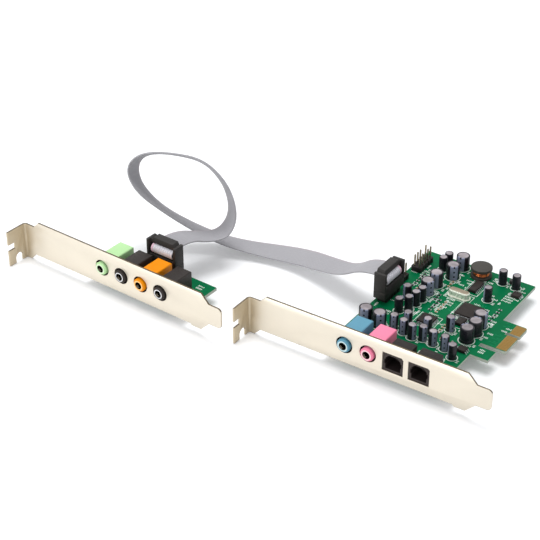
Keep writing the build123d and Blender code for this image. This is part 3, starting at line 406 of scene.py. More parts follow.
def bracket_finish(node):
    material = finish(node + "_plating", (230, 221, 204), 0.3, 0.42, 0.4, grain=500.0, drift=0.06)
    tree = material.node_tree
    shader = tree.nodes["Principled BSDF"]
    grain_relief = shader.inputs["Normal"].links[0].from_node
    strokes = place_group(tree, STROKES, Stretch=STROKE_STRETCH)
    relief = add_node(tree, "ShaderNodeBump", {"Strength": STROKE_STRENGTH, "Distance": BUMP_DEPTH})
    wire(tree, (strokes, "Height", relief, "Height"), (grain_relief, "Normal", relief, "Normal"),
         (relief, "Normal", shader, "Normal"))
    # Painted shade and a painted reflection of the tab darken the plating near the fold
    tint(material, lambda own: painted_fold_shade(own, node), FOLD_SHADE_TONE)


for node in ("main_bracket", "jack_bracket"):
    bracket_finish(node)
tint(finish("can_sleeve", (26, 24, 33), 0.25, 0.38, sheen=0.3), pale_stripe, (132, 138, 162))
tint(finish("ribbon_grey", (162, 161, 166), 0.42, 0.58, drift=0.08, sheen=0.4), first_way, (168, 162, 167))
# The folds take paler copies of the ribbon's colours: painted light
tint(finish("fold_painted_light", (214, 214, 222), 0.4, 0.55, drift=0.08), first_way, (226, 190, 208))
print(len(MATERIALS), "finishes in all")

# %% [markdown]
# ## Helpers for pieces
# A frame node is loose triangles, which is right for physics but has razor edges. A real moulded or punched
# edge is a little round and catches a line of light. So a copy is merged, its flat triangles are joined into
# whole faces, and a Bevel modifier rounds what is left, before the copy takes the node's place.

# %% Helpers: merged copies and settling
MERGE_DISTANCE = 1e-6
FLAT_ANGLE = math.radians(0.6)
ROUND_ANGLE = math.radians(32)
SOFT_ANGLE = math.radians(60)


def settle(piece):
    """Turns a piece with modifiers into a plain mesh."""
    graph = bpy.context.evaluated_depsgraph_get()
    mesh = bpy.data.meshes.new_from_object(piece.evaluated_get(graph), depsgraph=graph)
    piece.modifiers.clear()
    piece.data = mesh
    return piece


def enter(piece, nodes=()):
    """Says what a finished piece rides on and hides the frame nodes that it stands for."""
    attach(piece, "root")
    if nodes:
        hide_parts(*nodes)
    return piece


def shade(mesh, angle=ROUND_ANGLE):
    """Smooth shading that stops at sharp edges."""
    mesh.shade_smooth()
    mesh.set_sharp_from_angle(angle=angle)


def welded(node):
    """A node's loose triangles as one connected shape under construction."""
    shape = bmesh.new()
    shape.from_mesh(frame["nodes"][node].data)
    bmesh.ops.remove_doubles(shape, verts=shape.verts, dist=MERGE_DISTANCE)
    return shape


def built(name, shape):
    """The mesh of a shape under construction, which ends there."""
    mesh = bpy.data.meshes.new(name)
    shape.to_mesh(mesh)
    shape.free()
    return mesh


def rounded_copy(node, name, width, slot, segments=2, material=None):
    """A copy of a frame node with rounded edges, which stands for it."""
    shape = welded(node)
    bmesh.ops.dissolve_limit(shape, angle_limit=FLAT_ANGLE, verts=shape.verts, edges=shape.edges,
                             use_dissolve_boundaries=False, delimit=set())
    piece = new_object(name, built(name, shape))
    piece.data.materials.append(MATERIALS[material or slot])
    bevel = piece.modifiers.new("rounded edges", "BEVEL")
    bevel.width = width
    bevel.segments = segments
    bevel.limit_method = "ANGLE"
    bevel.angle_limit = ROUND_ANGLE
    settle(piece)
    shade(piece.data)
    return enter(piece, [node])


def repaint(piece, material, chosen):
    """Gives a further finish to the faces for which a test holds."""
    piece.data.materials.append(MATERIALS[material])
    last = len(piece.data.materials) - 1
    for face in piece.data.polygons:
        if chosen(face):
            face.material_index = last


print("edges that turn by more than", round(math.degrees(ROUND_ANGLE)), "degrees are rounded")

# %% [markdown]
# Many nodes hold a whole group of solids. Their places could be typed in again, but the frame already knows
# them, so the connected islands of a node are found and each gives its box.

# %% Islands of a node


def islands(node):
    """The boxes of a node's separate solids, from left to right."""
    shape = welded(node)
    left = set(shape.verts)
    boxes = []
    while left:
        front = [left.pop()]
        found = []
        while front:
            vertex = front.pop()
            found.append(vertex.co.copy())
            for edge in vertex.link_edges:
                other = edge.other_vert(vertex)
                if other in left:
                    left.remove(other)
                    front.append(other)
        boxes.append(tuple(Vector([pick(point[axis] for point in found) for axis in range(3)])
                           for pick in (min, max)))
    shape.free()
    boxes.sort(key=lambda box: (round(box[0].x, 5), round(box[0].y, 5), round(box[0].z, 5)))
    return boxes


def middle(box):
    return (box[0] + box[1]) / 2


for node in ("large_capacitors", "small_capacitors"):
    print(node, len(islands(node)))

# %% [markdown]
# ## A tree that repeats a shape
# Cans, pins, leads, chip parts and solder joints are the same few shapes again and again. Copying meshes in
# a loop would do, but a Geometry Nodes tree says it once: a cloud of places, each with its own turn and
# size, and the shape that stands on every one of them. Realize Instances makes it real faces at the end.

# %% The repeat tree


def geometry_tree(name, inputs):
    """A tree with named inputs that ends in Realize Instances and Set Material, still to be filled."""
    tree, given, made = new_group(name, {**inputs, "Finish": "Material"}, {"Geometry": "Geometry"},
                                  "GeometryNodeTree")
    real = add_node(tree, "GeometryNodeRealizeInstances")
    paint = add_node(tree, "GeometryNodeSetMaterial")
    wire(tree, (real, "Geometry", paint, "Geometry"), (given, "Finish", paint, "Material"),
         (paint, "Geometry", made, "Geometry"))
    return tree, given, real


def grown(piece, tree, material, **values):
    """Runs a tree on a piece, its inputs set by their sockets' identifiers, and settles the piece."""
    modifier = piece.modifiers.new(tree.name, "NODES")
    modifier.node_group = tree
    values["Finish"] = MATERIALS[material]
    for socket in tree.interface.items_tree:
        if socket.in_out == "INPUT" and socket.name in values:
            modifier[socket.identifier] = values[socket.name]
    return settle(piece)


def repeat_tree():
    tree, given, real = geometry_tree("repeat_on_places", {"Places": "Geometry", "Shape": "Object"})
    shape = add_node(tree, "GeometryNodeObjectInfo")
    points = add_node(tree, "GeometryNodeMeshToPoints")
    stand = add_node(tree, "GeometryNodeInstanceOnPoints")
    turn = add_node(tree, "GeometryNodeInputNamedAttribute", {"Name": "turn"}, data_type="FLOAT")
    size = add_node(tree, "GeometryNodeInputNamedAttribute", {"Name": "size"}, data_type="FLOAT_VECTOR")
    upright = add_node(tree, "ShaderNodeCombineXYZ")
    wire(tree, (given, "Places", points, "Mesh"), (given, "Shape", shape, "Object"),
         (points, "Points", stand, "Points"), (shape, "Geometry", stand, "Instance"),
         (turn, "Attribute", upright, "Z"), (upright, "Vector", stand, "Rotation"),
         (size, "Attribute", stand, "Scale"), (stand, "Instances", real, "Geometry"))
    return tree


REPEAT = repeat_tree()
UNIT = (1, 1, 1)


def carry(mesh, name, values):
    """Stores a value on each point of a mesh."""
    mesh.attributes.new(name, "FLOAT", "POINT").data.foreach_set("value", values)


def repeat(name, shape_mesh, places, material, nodes=(), angle=ROUND_ANGLE):
    """A shape on every place, a place being a point, a turn about Z and a size along x, y and z."""
    shape = new_object(name + "_shape", shape_mesh)
    cloud = bpy.data.meshes.new(name + "_places")
    cloud.from_pydata([place for place, _, _ in places], [], [])
    carry(cloud, "turn", [turn for _, turn, _ in places])
    sizes = cloud.attributes.new("size", "FLOAT_VECTOR", "POINT")
    sizes.data.foreach_set("vector", [value for _, _, size in places for value in size])
    piece = grown(new_object(name, cloud), REPEAT, material, Shape=shape)
    bpy.data.objects.remove(shape)
    shade(piece.data, angle)
    enter(piece, nodes)
    print(name, len(places))


print("repeat tree with inputs", [s.name for s in REPEAT.interface.items_tree if s.in_out == "INPUT"])

# %% [markdown]
# ## The ribbon
# Ten thin wires side by side, moulded into one flat strip, leave the jack card's plug, fold back in a high
# loop, come down close to the table and rise into the main card's plug. A strip could be swept along a
# bevelled curve, but then its twist would be left to chance. Here two smooth splines share the work: one runs
# down the middle, the other along one edge, and the line between them says how the strip lies at every step.

# %% The ribbon's route
RIBBON_WIDTH = 12.7 * MM
SPLINE_STEPS = 9
# Each point in millimetres, with the turn of the strip's width from X and its tilt, in degrees
ROUTE = [(-51.516, -23.951, 19.86, 3, 0), (-51.045, -14.963, 19.86, 8, 0), (-46.0, -4.5, 15.8, 25, 3),
         (-41.3, 4.0, 14.6, 31, 10), (-39.3, 9.3, 20.8, 34, 19), (-41.3, 12.0, 29.0, 40, 26),
         (-47.0, 13.0, 38.0, 46, 30), (-57.0, 11.0, 46.5, 55, 33), (-71.0, 5.0, 48.5, 66, 31),
         (-81.5, 0.0, 47.8, 75, 27), (-87.0, -3.0, 43.5, 78, 20), (-87.3, -4.8, 37.2, 74, 13),
         (-82.5, -5.3, 30.0, 63, 12), (-73.0, -1.0, 20.5, 50, 16), (-61.5, 6.0, 11.5, 52, 13),
         (-48.4, 12.2, 5.1, 61, 11), (-34.6, 16.7, 3.3, 73, 7), (-20.1, 20.2, 3.5, 82, -2),
         (-5.5, 20.8, 5.5, 95, -7), (9.0, 18.0, 8.0, 102, -4), (22.5, 14.5, 11.5, 101, 0),
         (34.02, 13.15, 19.86, 90, 0), (41.52, 13.15, 19.86, 90, 0)]


def spline_points(controls):
    """Points read from a smooth spline with these control points."""
    curve = bpy.data.curves.new("route", "CURVE")
    curve.dimensions = "3D"
    curve.resolution_u = SPLINE_STEPS
    spline = curve.splines.new("NURBS")
    spline.points.add(len(controls) - 1)
    for point, place in zip(spline.points, controls):
        point.co = (*place, 1.0)
    spline.order_u = 3
    spline.use_endpoint_u = True
    route = new_object("route", curve)
    bpy.context.view_layer.update()
    points = [vertex.co.copy() for vertex in bpy.data.meshes.new_from_object(route).vertices]
    bpy.data.objects.remove(route)
    return points


def strip_width(twist, tilt):
    """The way the strip's width points."""
    turn, lean = math.radians(twist), math.radians(tilt)
    return Vector((math.cos(lean) * math.cos(turn), -math.cos(lean) * math.sin(turn), math.sin(lean)))


def squared(points, index, across):
    """The run of a line at one of its points, and a width made square to that run."""
    run = (points[min(index + 1, len(points) - 1)] - points[max(index - 1, 0)]).normalized()
    return run, (across - run * across.dot(run)).normalized()


centres = [Vector(point[:3]) * MM for point in ROUTE]
edges = []
for index, point in enumerate(ROUTE):
    _, across = squared(centres, index, strip_width(*point[3:]))
    edges.append(centres[index] + across * RIBBON_WIDTH / 2)
path = spline_points(centres)
stations = []
for index, edge in enumerate(spline_points(edges)):
    run, across = squared(path, index, edge - path[index])
    stations.append((path[index], across, across.cross(run)))
length = sum((b - a).length for a, b in zip(path, path[1:]))
print("ribbon", len(path), "stations,", round(length / MM, 1), "mm long")

# %% [markdown]
# The strip itself is a row of sections joined one to the next. Tubes, cones, pins and bent leads are rows of
# points too, so one function joins the rows, one closes the ends and one turns all faces outwards, and the
# later pieces use them again.

# %% The ribbed strip
RIBBON_WAYS = 10
RIBBON_THICKNESS = 0.9 * MM
VALLEY_SHARE = 0.62
WAY_STEPS = 6
WIRE_ROUNDNESS = 0.7


def wall_faces(rows, count, loop=False):
    """Faces between rows of points that go round once. With loop, the last row meets the first."""
    faces = []
    for row in range(rows if loop else rows - 1):
        low, high = row * count, (row + 1) % rows * count
        faces += [(low + i, low + (i + 1) % count, high + (i + 1) % count, high + i) for i in range(count)]
    return faces


def capped_faces(rows, count):
    """The same faces with the first and the last row closed."""
    ends = [tuple(reversed(range(count))), tuple(range((rows - 1) * count, rows * count))]
    return wall_faces(rows, count) + ends


def closed_mesh(name, vertices, faces):
    """A mesh whose faces all point outwards."""
    mesh = bpy.data.meshes.new(name)
    mesh.from_pydata(vertices, [], faces)
    shape = bmesh.new()
    shape.from_mesh(mesh)
    bmesh.ops.recalc_face_normals(shape, faces=shape.faces)
    shape.to_mesh(mesh)
    shape.free()
    return mesh


def ribbed_section(valley_share):
    """The strip's section as (across, up, way) points: ten round wires above, and back below."""
    pitch = RIBBON_WIDTH / RIBBON_WAYS
    valley = valley_share * RIBBON_THICKNESS / 2
    crest = RIBBON_THICKNESS / 2 - valley
    upper = []
    for way in range(RIBBON_WAYS):
        for step in range(WAY_STEPS):
            share = step / WAY_STEPS
            lift = valley + crest * math.sin(math.pi * share) ** WIRE_ROUNDNESS
            upper.append((-RIBBON_WIDTH / 2 + (way + share) * pitch, lift, way))
    upper.append((RIBBON_WIDTH / 2, valley, RIBBON_WAYS - 1))
    return upper + [(across, -lift, way) for across, lift, way in reversed(upper)]


def strip(name, rows, valley_share, material, node):
    """Sections joined along rows, each a centre, the width's direction and the upward direction."""
    section = ribbed_section(valley_share)
    vertices = [centre + across * x + up * z for centre, across, up in rows for x, z, _ in section]
    mesh = closed_mesh(name, vertices, capped_faces(len(rows), len(section)))
    carry(mesh, "way", [float(way) for _ in rows for _, _, way in section])
    mesh.materials.append(MATERIALS[material])
    shade(mesh, SOFT_ANGLE)
    return enter(new_object(name, mesh), [node])


ribbon = strip("ribbon_strip", stations, VALLEY_SHARE, "ribbon_grey", "ribbon_cable")
print(ribbon.name, len(ribbon.data.polygons), "faces")

# %% [markdown]
# ## The folds in the plugs
# Inside each plug the ribbon turns back round the edge of the cover, and ten ridges show in the window
# under the strain relief, painted paler than the ribbon as painted light. The strip function above already
# makes such ridges, so the fold is only a short row of stations: in along the socket, round a half circle and
# out over the cover.

# %% Ribbed folds
FOLD_STEPS = 14
FOLD_VALLEY_SHARE = 0.1
JACK_CARD_YAW = math.radians(-3.0)
UP = Vector((0, 0, 1))
fold_low, fold_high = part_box("main_ribbon_fold")
FOLD_DEPTH = fold_high.x - fold_low.x
FOLD_RADIUS = (fold_high.z - fold_low.z) / 2


def fold_stations(node, across, out):
    """Stations round a plug's fold, from the socket to the side where the cable leaves."""
    centre = middle(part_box(node))
    radius = FOLD_RADIUS - RIBBON_THICKNESS / 2
    back = centre + out * FOLD_DEPTH / 2
    bend = centre - out * (FOLD_DEPTH / 2 - FOLD_RADIUS)
    rows = [(back - UP * radius, across, -UP)]
    for step in range(FOLD_STEPS + 1):
        angle = math.pi * step / FOLD_STEPS
        outward = -UP * math.cos(angle) - out * math.sin(angle)
        rows.append((bend + outward * radius, across, outward))
    rows.append((back + UP * radius, across, UP))
    return rows


def card_direction(x, y):
    """A direction on the jack card, which lies a little turned."""
    return Matrix.Rotation(JACK_CARD_YAW, 3, "Z") @ Vector((x, y, 0))


for node, across, out in (("main_ribbon_fold", Vector((0, -1, 0)), Vector((-1, 0, 0))),
                          ("jack_card_ribbon_fold", card_direction(1, 0), card_direction(0, 1))):
    fold = strip(node + "_ribs", fold_stations(node, across, out), FOLD_VALLEY_SHARE, "fold_painted_light", node)
    print(fold.name, len(fold.data.polygons), "faces")

# %% [markdown]
# ## Brackets and screws
# Each bracket is one strip of plated sheet, punched and folded, with a screw tab at one end and a tongue at
# the other. Its shape is already true in the frame, so only the punched edges need rounding. The sheet was
# plated before it was punched, so the narrow cut faces above and below are bare and darker, and along the
# lower edge that darker tone is also painted shade. The pan-head screws hold the boards to the brackets'
# ears.

# %% Brackets and screws
SHEET_EDGE = 0.16 * MM
SCREW_EDGE = 0.12 * MM
EAR_THICKNESS = 1.2 * MM
# Faces that look up or down more than these take the darker cut tone, partly painted shade on the lower edge
CUT_ABOVE = 0.4
CUT_BELOW = -0.3
board_low, board_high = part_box("main_circuit_board")
BOARD_TOP = board_high.z
BOARD_UNDER = board_low.z


def bare_cut_and_shade(face):
    """True for a cut face that looks up or down, other than the ears': bare metal, darker partly as painted
    shade.
    """
    on_ear = BOARD_UNDER - EAR_THICKNESS < face.center.z < BOARD_UNDER + SHEET_EDGE
    return not on_ear and not CUT_BELOW < face.normal.z < CUT_ABOVE


for node in ("main_bracket", "jack_bracket"):
    piece = rounded_copy(node, node + "_sheet", SHEET_EDGE, "bracket_metal", material=node + "_plating")
    repaint(piece, "cut_edge_and_shade", bare_cut_and_shade)
    print(piece.name, len(piece.data.polygons), "faces")
for node in ("main_bracket_screws", "jack_bracket_screws"):
    rounded_copy(node, node + "_turned", SCREW_EDGE, "screw_steel")

# %% [markdown]
# ## Boards
# A circuit board is green lacquer on both faces and bare glass laminate on its cut edges. The lacquer could
# be painted by a shader alone, but a second material on the upright faces is simpler and stays sharp.

# %% Boards
LACQUER_EDGE = 0.06 * MM
UPRIGHT = 0.5
for node in ("main_circuit_board", "jack_circuit_board"):
    piece = rounded_copy(node, node + "_laminate", LACQUER_EDGE, "board_green", segments=1)
    repaint(piece, "board_edge", lambda face: abs(face.normal.z) < UPRIGHT)
    print(piece.name, len(piece.data.polygons), "faces")

# %% [markdown]
# ## Lines on the boards
# White ink outlines the parts, and thin copper tracks run under the lacquer from each lead to a small plated
# hole. Both could be drawn in an image, but lines stay sharp from close by. One tree serves them: it takes
# bare edges, turns them into curves and sweeps a flat rectangle along them.

# %% The line tree
LINE_THICKNESS = 0.02 * MM
RING_STEPS = 30


def line_tree():
    tree, given, real = geometry_tree("flat_lines", {"Lines": "Geometry", "Width": "Float",
                                                     "Thickness": "Float"})
    curves = add_node(tree, "GeometryNodeMeshToCurve")
    normals = add_node(tree, "GeometryNodeSetCurveNormal", mode="Z_UP")
    section = add_node(tree, "GeometryNodeCurvePrimitiveQuadrilateral")
    sweep = add_node(tree, "GeometryNodeCurveToMesh", {"Fill Caps": True})
    wire(tree, (given, "Lines", curves, "Mesh"), (curves, "Curve", normals, "Curve"),
         (given, "Width", section, "Width"), (given, "Thickness", section, "Height"),
         (normals, "Curve", sweep, "Curve"), (section, "Curve", sweep, "Profile Curve"),
         (sweep, "Mesh", real, "Geometry"))
    return tree


LINES = line_tree()


def flat_lines(name, lines, z, width, material):
    """Open or closed flat lines, each a list of (x, y) points; a closed one repeats its first point."""
    vertices, pairs = [], []
    for line in lines:
        closed = line[0] == line[-1]
        points = line[:-1] if closed else line
        first = len(vertices)
        vertices += [(x, y, z) for x, y in points]
        pairs += [(first + i, first + i + 1) for i in range(len(points) - 1)]
        if closed:
            pairs.append((first + len(points) - 1, first))
    mesh = bpy.data.meshes.new(name)
    mesh.from_pydata(vertices, pairs, [])
    piece = grown(new_object(name, mesh), LINES, material, Width=width, Thickness=LINE_THICKNESS)
    enter(piece)
    print(name, len(lines), "lines")


def circle(radius, steps, start=0.0):
    """Points round the origin, as x and y."""
    turns = [start + 2 * math.pi * i / steps for i in range(steps)]
    return [(radius * math.cos(turn), radius * math.sin(turn)) for turn in turns]


def ring(x, y, radius):
    """A closed circle as points."""
    points = [(x + dx, y + dy) for dx, dy in circle(radius, RING_STEPS)]
    return points + points[:1]


def frame_round(box, margin):
    """A closed rectangle round a box, seen from above."""
    x0, y0, x1, y1 = box[0].x - margin, box[0].y - margin, box[1].x + margin, box[1].y + margin
    return [(x0, y0), (x1, y0), (x1, y1), (x0, y1), (x0, y0)]


print("line tree with inputs", [s.name for s in LINES.interface.items_tree if s.in_out == "INPUT"])

# %% [markdown]
# ## Ink
# Every can stands in a ring, and chips, headers and small parts stand in frames. Between them lie short rows
# of plain ticks, some in blocks of two or three rows. They could all be set by hand, but there are hundreds,
# so the loose rows are scattered with a fixed seed, which makes the same ticks on every run.

# %% Ticks
TICK_HEIGHT = 1.2 * MM
TICK_SHARES = (0.6, 1.0, 1.0)
TICK_STEP = 0.7 * MM
BLOCK_ROW_STEP = 1.9 * MM
MAIN_FIELD_WIDTH = 55.6 * MM
FIELD_MARGIN = 0.6 * MM
FIELD_RIGHT = board_low.x + MAIN_FIELD_WIDTH
draw = random.Random(11)


def ticks(x, y, count, upright):
    """A short row of ticks of uneven height."""
    row = []
    for i in range(count):
        height = TICK_HEIGHT * draw.choice(TICK_SHARES)
        along = (i - (count - 1) / 2) * TICK_STEP
        if upright:
            row.append([(x + along, y - height / 2), (x + along, y + height / 2)])
        else:
            row.append([(x - height / 2, y + along), (x + height / 2, y + along)])
    return row


def tick_block(x, y, rows, count):
    """Rows of upright ticks below each other."""
    return [line for row in range(rows) for line in ticks(x, y - row * BLOCK_ROW_STEP, count, True)]


def on_board(line):
    """True where a line lies wholly on the main board's large field."""
    return all(board_low.x + FIELD_MARGIN < x < FIELD_RIGHT - FIELD_MARGIN
               and board_low.y + FIELD_MARGIN < y < board_high.y - FIELD_MARGIN for x, y in line)


cans = islands("large_capacitors") + islands("small_capacitors")
small_parts = islands("chip_resistors") + islands("chip_capacitors")
chips = [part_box("audio_controller_chip"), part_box("codec_chip")] + islands("small_chips")
print(len(cans), "cans,", len(small_parts), "chip parts and", len(chips), "chips to outline")

# %% White ink round the parts
CAN_RING_GAP = 0.5 * MM
CAN_TICKS = 3
# The gap beside a can's ring in millimetres, and the side as a share of the ring's radius
CAN_TICK_GAPS = (0.6, 1.2)
CAN_TICK_SIDES = (0.6, -0.6)
CHIP_FRAME_GAP = 1.6 * MM
CHIP_TICK_GAP = 1.2 * MM
CHIP_TICKS = (5, 6, 7)
PART_FRAME_GAP = 0.45 * MM
FRAMED_PARTS_STEP = 3
HEADER_FRAME_GAP = 1.1 * MM
COIL_FRAME_GAP = 0.7 * MM
COIL_TICKS = 6
COIL_TICKS_LEFT = 2 * MM
COIL_TICKS_BELOW = 1.6 * MM
ink = []
for box in cans:
    x, y, _ = middle(box)
    radius = (box[1].x - box[0].x) / 2 + CAN_RING_GAP
    ink.append(ring(x, y, radius))
    ink += ticks(x + radius + draw.uniform(*CAN_TICK_GAPS) * MM, y - radius * draw.choice(CAN_TICK_SIDES),
                 CAN_TICKS, False)
for box in chips:
    ink.append(frame_round(box, CHIP_FRAME_GAP))
    ink += ticks(middle(box).x, box[1].y + CHIP_FRAME_GAP + CHIP_TICK_GAP, draw.choice(CHIP_TICKS), True)
for box in small_parts[::FRAMED_PARTS_STEP]:
    ink.append(frame_round(box, PART_FRAME_GAP))
for node in ("main_ribbon_header", "front_audio_header", "jumper_header"):
    ink.append(frame_round(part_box(node), HEADER_FRAME_GAP))
for node in ("crystal", "inductor_core"):
    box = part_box(node)
    ink.append(frame_round(box, COIL_FRAME_GAP))
    ink += ticks(middle(box).x - COIL_TICKS_LEFT, box[0].y - COIL_TICKS_BELOW, COIL_TICKS, True)
print(len(ink), "lines round the parts")

# %% White ink in rows and blocks
INK_WIDTH = 0.34 * MM
LOOSE_ROWS = 100
LOOSE_TICKS = (3, 4, 5)
LOOSE_UPRIGHT = 0.5
LOOSE_MARGIN = 2 * MM
LOOSE_FROM_FRONT = 12 * MM
# Blocks of ticks as shares of the field's width and depth, with their rows and the ticks in each row
INK_BLOCKS = [(0.16, 0.82, 3, 6), (0.52, 0.49, 3, 6), (0.8, 0.68, 2, 6), (0.9, 0.84, 3, 7),
              (0.39, 0.89, 3, 5), (0.53, 0.64, 2, 5), (0.18, 0.41, 2, 4), (0.95, 0.61, 2, 4),
              (0.66, 0.3, 2, 5), (0.3, 0.8, 2, 5), (0.26, 0.95, 2, 6), (0.7, 0.95, 2, 5),
              (0.34, 0.62, 3, 4), (0.84, 0.46, 2, 5)]
FRONT_MARKS = 11
FRONT_MARK_TICKS = 3
FRONT_MARK_DEPTH = 13.6 * MM
FRONT_MARKS_FROM = 0.46
FRONT_MARKS_SPAN = 0.5
# Rows of ticks on the retention hook and by the card edge, in millimetres from the hook's inner corner
HOOK_FROM_BACK = 64.0 * MM
EDGE_MARKS = [(3.2, 5.4), (3.2, 3.6), (-0.4, 14.7), (0.3, 18.2), (4.4, 23.4), (5.4, 26.0)]
EDGE_TICKS = 4
for _ in range(LOOSE_ROWS):
    x = draw.uniform(board_low.x + LOOSE_MARGIN, FIELD_RIGHT - LOOSE_MARGIN)
    y = draw.uniform(board_low.y + LOOSE_FROM_FRONT, board_high.y - LOOSE_MARGIN)
    ink += ticks(x, y, draw.choice(LOOSE_TICKS), draw.random() < LOOSE_UPRIGHT)
for u, v, rows, count in INK_BLOCKS:
    ink += tick_block(board_low.x + u * MAIN_FIELD_WIDTH, board_low.y + v * (board_high.y - board_low.y),
                      rows, count)
for mark in range(FRONT_MARKS):
    x = board_low.x + (FRONT_MARKS_FROM + FRONT_MARKS_SPAN * mark / FRONT_MARKS) * MAIN_FIELD_WIDTH
    ink += ticks(x, board_low.y + FRONT_MARK_DEPTH, FRONT_MARK_TICKS, True)
ink = [line for line in ink if on_board(line)]
for x, y in EDGE_MARKS:
    ink += ticks(FIELD_RIGHT + x * MM, board_high.y - HOOK_FROM_BACK + y * MM, EDGE_TICKS, True)
flat_lines("main_board_ink", ink, BOARD_TOP + LINE_THICKNESS / 2, INK_WIDTH, "ink")

# %% White ink on the jack card
# Blocks as shares of half the card's width and depth from its middle
JACK_CARD_BLOCKS = [(0.78, 0.62, 2, 5), (0.8, 0.1, 2, 4), (0.45, 0.72, 1, 5), (-0.75, 0.6, 2, 5),
                    (0.84, -0.4, 1, 4)]
jack_low, jack_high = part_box("jack_circuit_board")
jack_middle, jack_half = middle((jack_low, jack_high)), (jack_high - jack_low) / 2
jack_ink = []
for u, v, rows, count in JACK_CARD_BLOCKS:
    for line in tick_block(u * jack_half.x, v * jack_half.y, rows, count):
        jack_ink.append([tuple(jack_middle + card_direction(x, y))[:2] for x, y in line])
flat_lines("jack_card_ink", jack_ink, jack_high.z + LINE_THICKNESS / 2, INK_WIDTH, "ink")

# %% [markdown]
# ## Tracks and plated holes
# From every lead of the two large chips a track runs straight out and ends at a plated hole, in three
# staggered rows so that the holes clear each other. The contacts of the card edge do the same on their side.
# They could be painted on, but thin raised strips catch the light as lacquered copper does.

# %% Tracks and plated holes
TRACK_WIDTH = 0.2 * MM
TRACK_FIRST = 1.2 * MM
TRACK_STEP = 0.9 * MM
EDGE_TRACK_STEP = 1.8 * MM
TRACK_ROWS = 3
HOLE_OUTSIDE = 0.32 * MM
HOLE_INSIDE = 0.15 * MM
HOLE_STEPS = 10


def lathe(name, outline, steps, loop=False, start=0.0):
    """An outline of radius and height turned about Z: a ring with loop, and else closed at its ends."""
    vertices = [(x, y, z) for radius, z in outline for x, y in circle(radius, steps, start)]
    faces = wall_faces(len(outline), steps, True) if loop else capped_faces(len(outline), steps)
    return closed_mesh(name, vertices, faces)


def washer(outside, inside, bottom, top):
    """The outline of a tube or washer for the lathe."""
    return [(outside, bottom), (outside, top), (inside, top), (inside, bottom)]


def lead_sides(node, chip_boxes):
    """For each lead its chip-side point, its direction away from the chip, its reach, width and height."""
    found = []
    for box in islands(node):
        centre, size = middle(box), box[1] - box[0]
        chip = min(chip_boxes, key=lambda other: (middle(other) - centre).length)
        along = Vector((1, 0, 0)) if size.x > size.y else Vector((0, 1, 0))
        direction = along * math.copysign(1, (centre - middle(chip)).dot(along))
        reach = max(size.x, size.y)
        start = centre - direction * reach / 2
        found.append((Vector((start.x, start.y, box[0].z)), direction, reach, min(size.x, size.y), size.z))
    return found


LEADS = {"audio_controller": lead_sides("audio_controller_leads", chips[:1]),
         "codec": lead_sides("codec_leads", chips[1:2]),
         "small_chip": lead_sides("small_chip_leads", chips[2:])}
tracks = []
for number, (start, direction, reach, _, _) in enumerate(LEADS["audio_controller"] + LEADS["codec"]):
    foot = start + direction * reach
    end = foot + direction * (TRACK_FIRST + TRACK_STEP * (number % TRACK_ROWS))
    tracks.append([(foot.x, foot.y), (end.x, end.y)])
for number, box in enumerate(islands("edge_contacts")):
    if middle(box).z > BOARD_TOP:
        end = box[0].x - TRACK_FIRST - EDGE_TRACK_STEP * (number % TRACK_ROWS)
        tracks.append([(box[0].x, middle(box).y), (end, middle(box).y)])
flat_lines("copper_tracks", tracks, BOARD_TOP, TRACK_WIDTH, "mask_over_copper")
hole = lathe("plated_hole", washer(HOLE_OUTSIDE, HOLE_INSIDE, 0, LINE_THICKNESS), HOLE_STEPS, True)
hole_places = [(Vector((*end, BOARD_TOP)), 0.0, UNIT) for _, end in tracks]
repeat("plated_holes", hole, hole_places, "mask_over_copper")

# %% [markdown]
# ## Card edge
# The gold contacts stand on bare laminate, which is ochre where the lacquer is left off. It could be a second
# colour on the board, but thin plates between the pads keep a sharp border, so that the edge reads as one
# golden band with fine lines.

# %% Bare laminate at the card edge
PLATE_THICKNESS = 0.02 * MM
PLATE_MARGIN = 0.35 * MM
PAD_GAP = 2.0 * MM


def plates(name, rows):
    """Closed plates: each row is an outline of x and y, its bottom, its top and its narrowing above."""
    vertices, faces = [], []
    for outline, bottom, top, narrowing in rows:
        first = len(vertices)
        vertices += [(x, y, bottom) for x, y in outline]
        vertices += [(x * narrowing, y * narrowing, top) for x, y in outline]
        faces += [tuple(first + i for i in face) for face in capped_faces(2, len(outline))]
    return closed_mesh(name, vertices, faces)


def edge_plates():
    """Plates under each run of contacts, on both faces."""
    rows = []
    pads = sorted(islands("edge_contacts"), key=lambda box: (box[0].z, box[0].y))
    run = [pads[0]]
    for before, pad in zip(pads, pads[1:] + [None]):
        if pad and abs(pad[0].z - before[0].z) < MM and pad[0].y - before[1].y < PAD_GAP:
            run.append(pad)
            continue
        low, high = run[0][0], run[-1][1]
        face = BOARD_TOP if low.z > BOARD_UNDER else BOARD_UNDER
        outline = frame_round((low, high), PLATE_MARGIN)[:-1]
        rows.append((outline, face - PLATE_THICKNESS, face + PLATE_THICKNESS, 1.0))
        run = [pad]
    mesh = plates("edge_laminate", rows)
    mesh.materials.append(MATERIALS["laminate"])
    return enter(new_object("edge_laminate", mesh))


print("edge laminate with", len(edge_plates().data.polygons), "faces")

# %% [markdown]
# ## Jacks
# Each jack is a moulded block with a barrel that comes through the bracket, in the colour that says what
# plugs in there. The blocks keep their frame shape with softer edges, and a coloured mouth is painted paler
# as a painted highlight. Each bore could stay plain, but a dark hole alone looks dead, so a thin dark tube
# lines it as painted shade, with a curved spring of bright metal. The block's other front faces, behind the
# bracket and at the bottom of the bore, take the same painted shade.

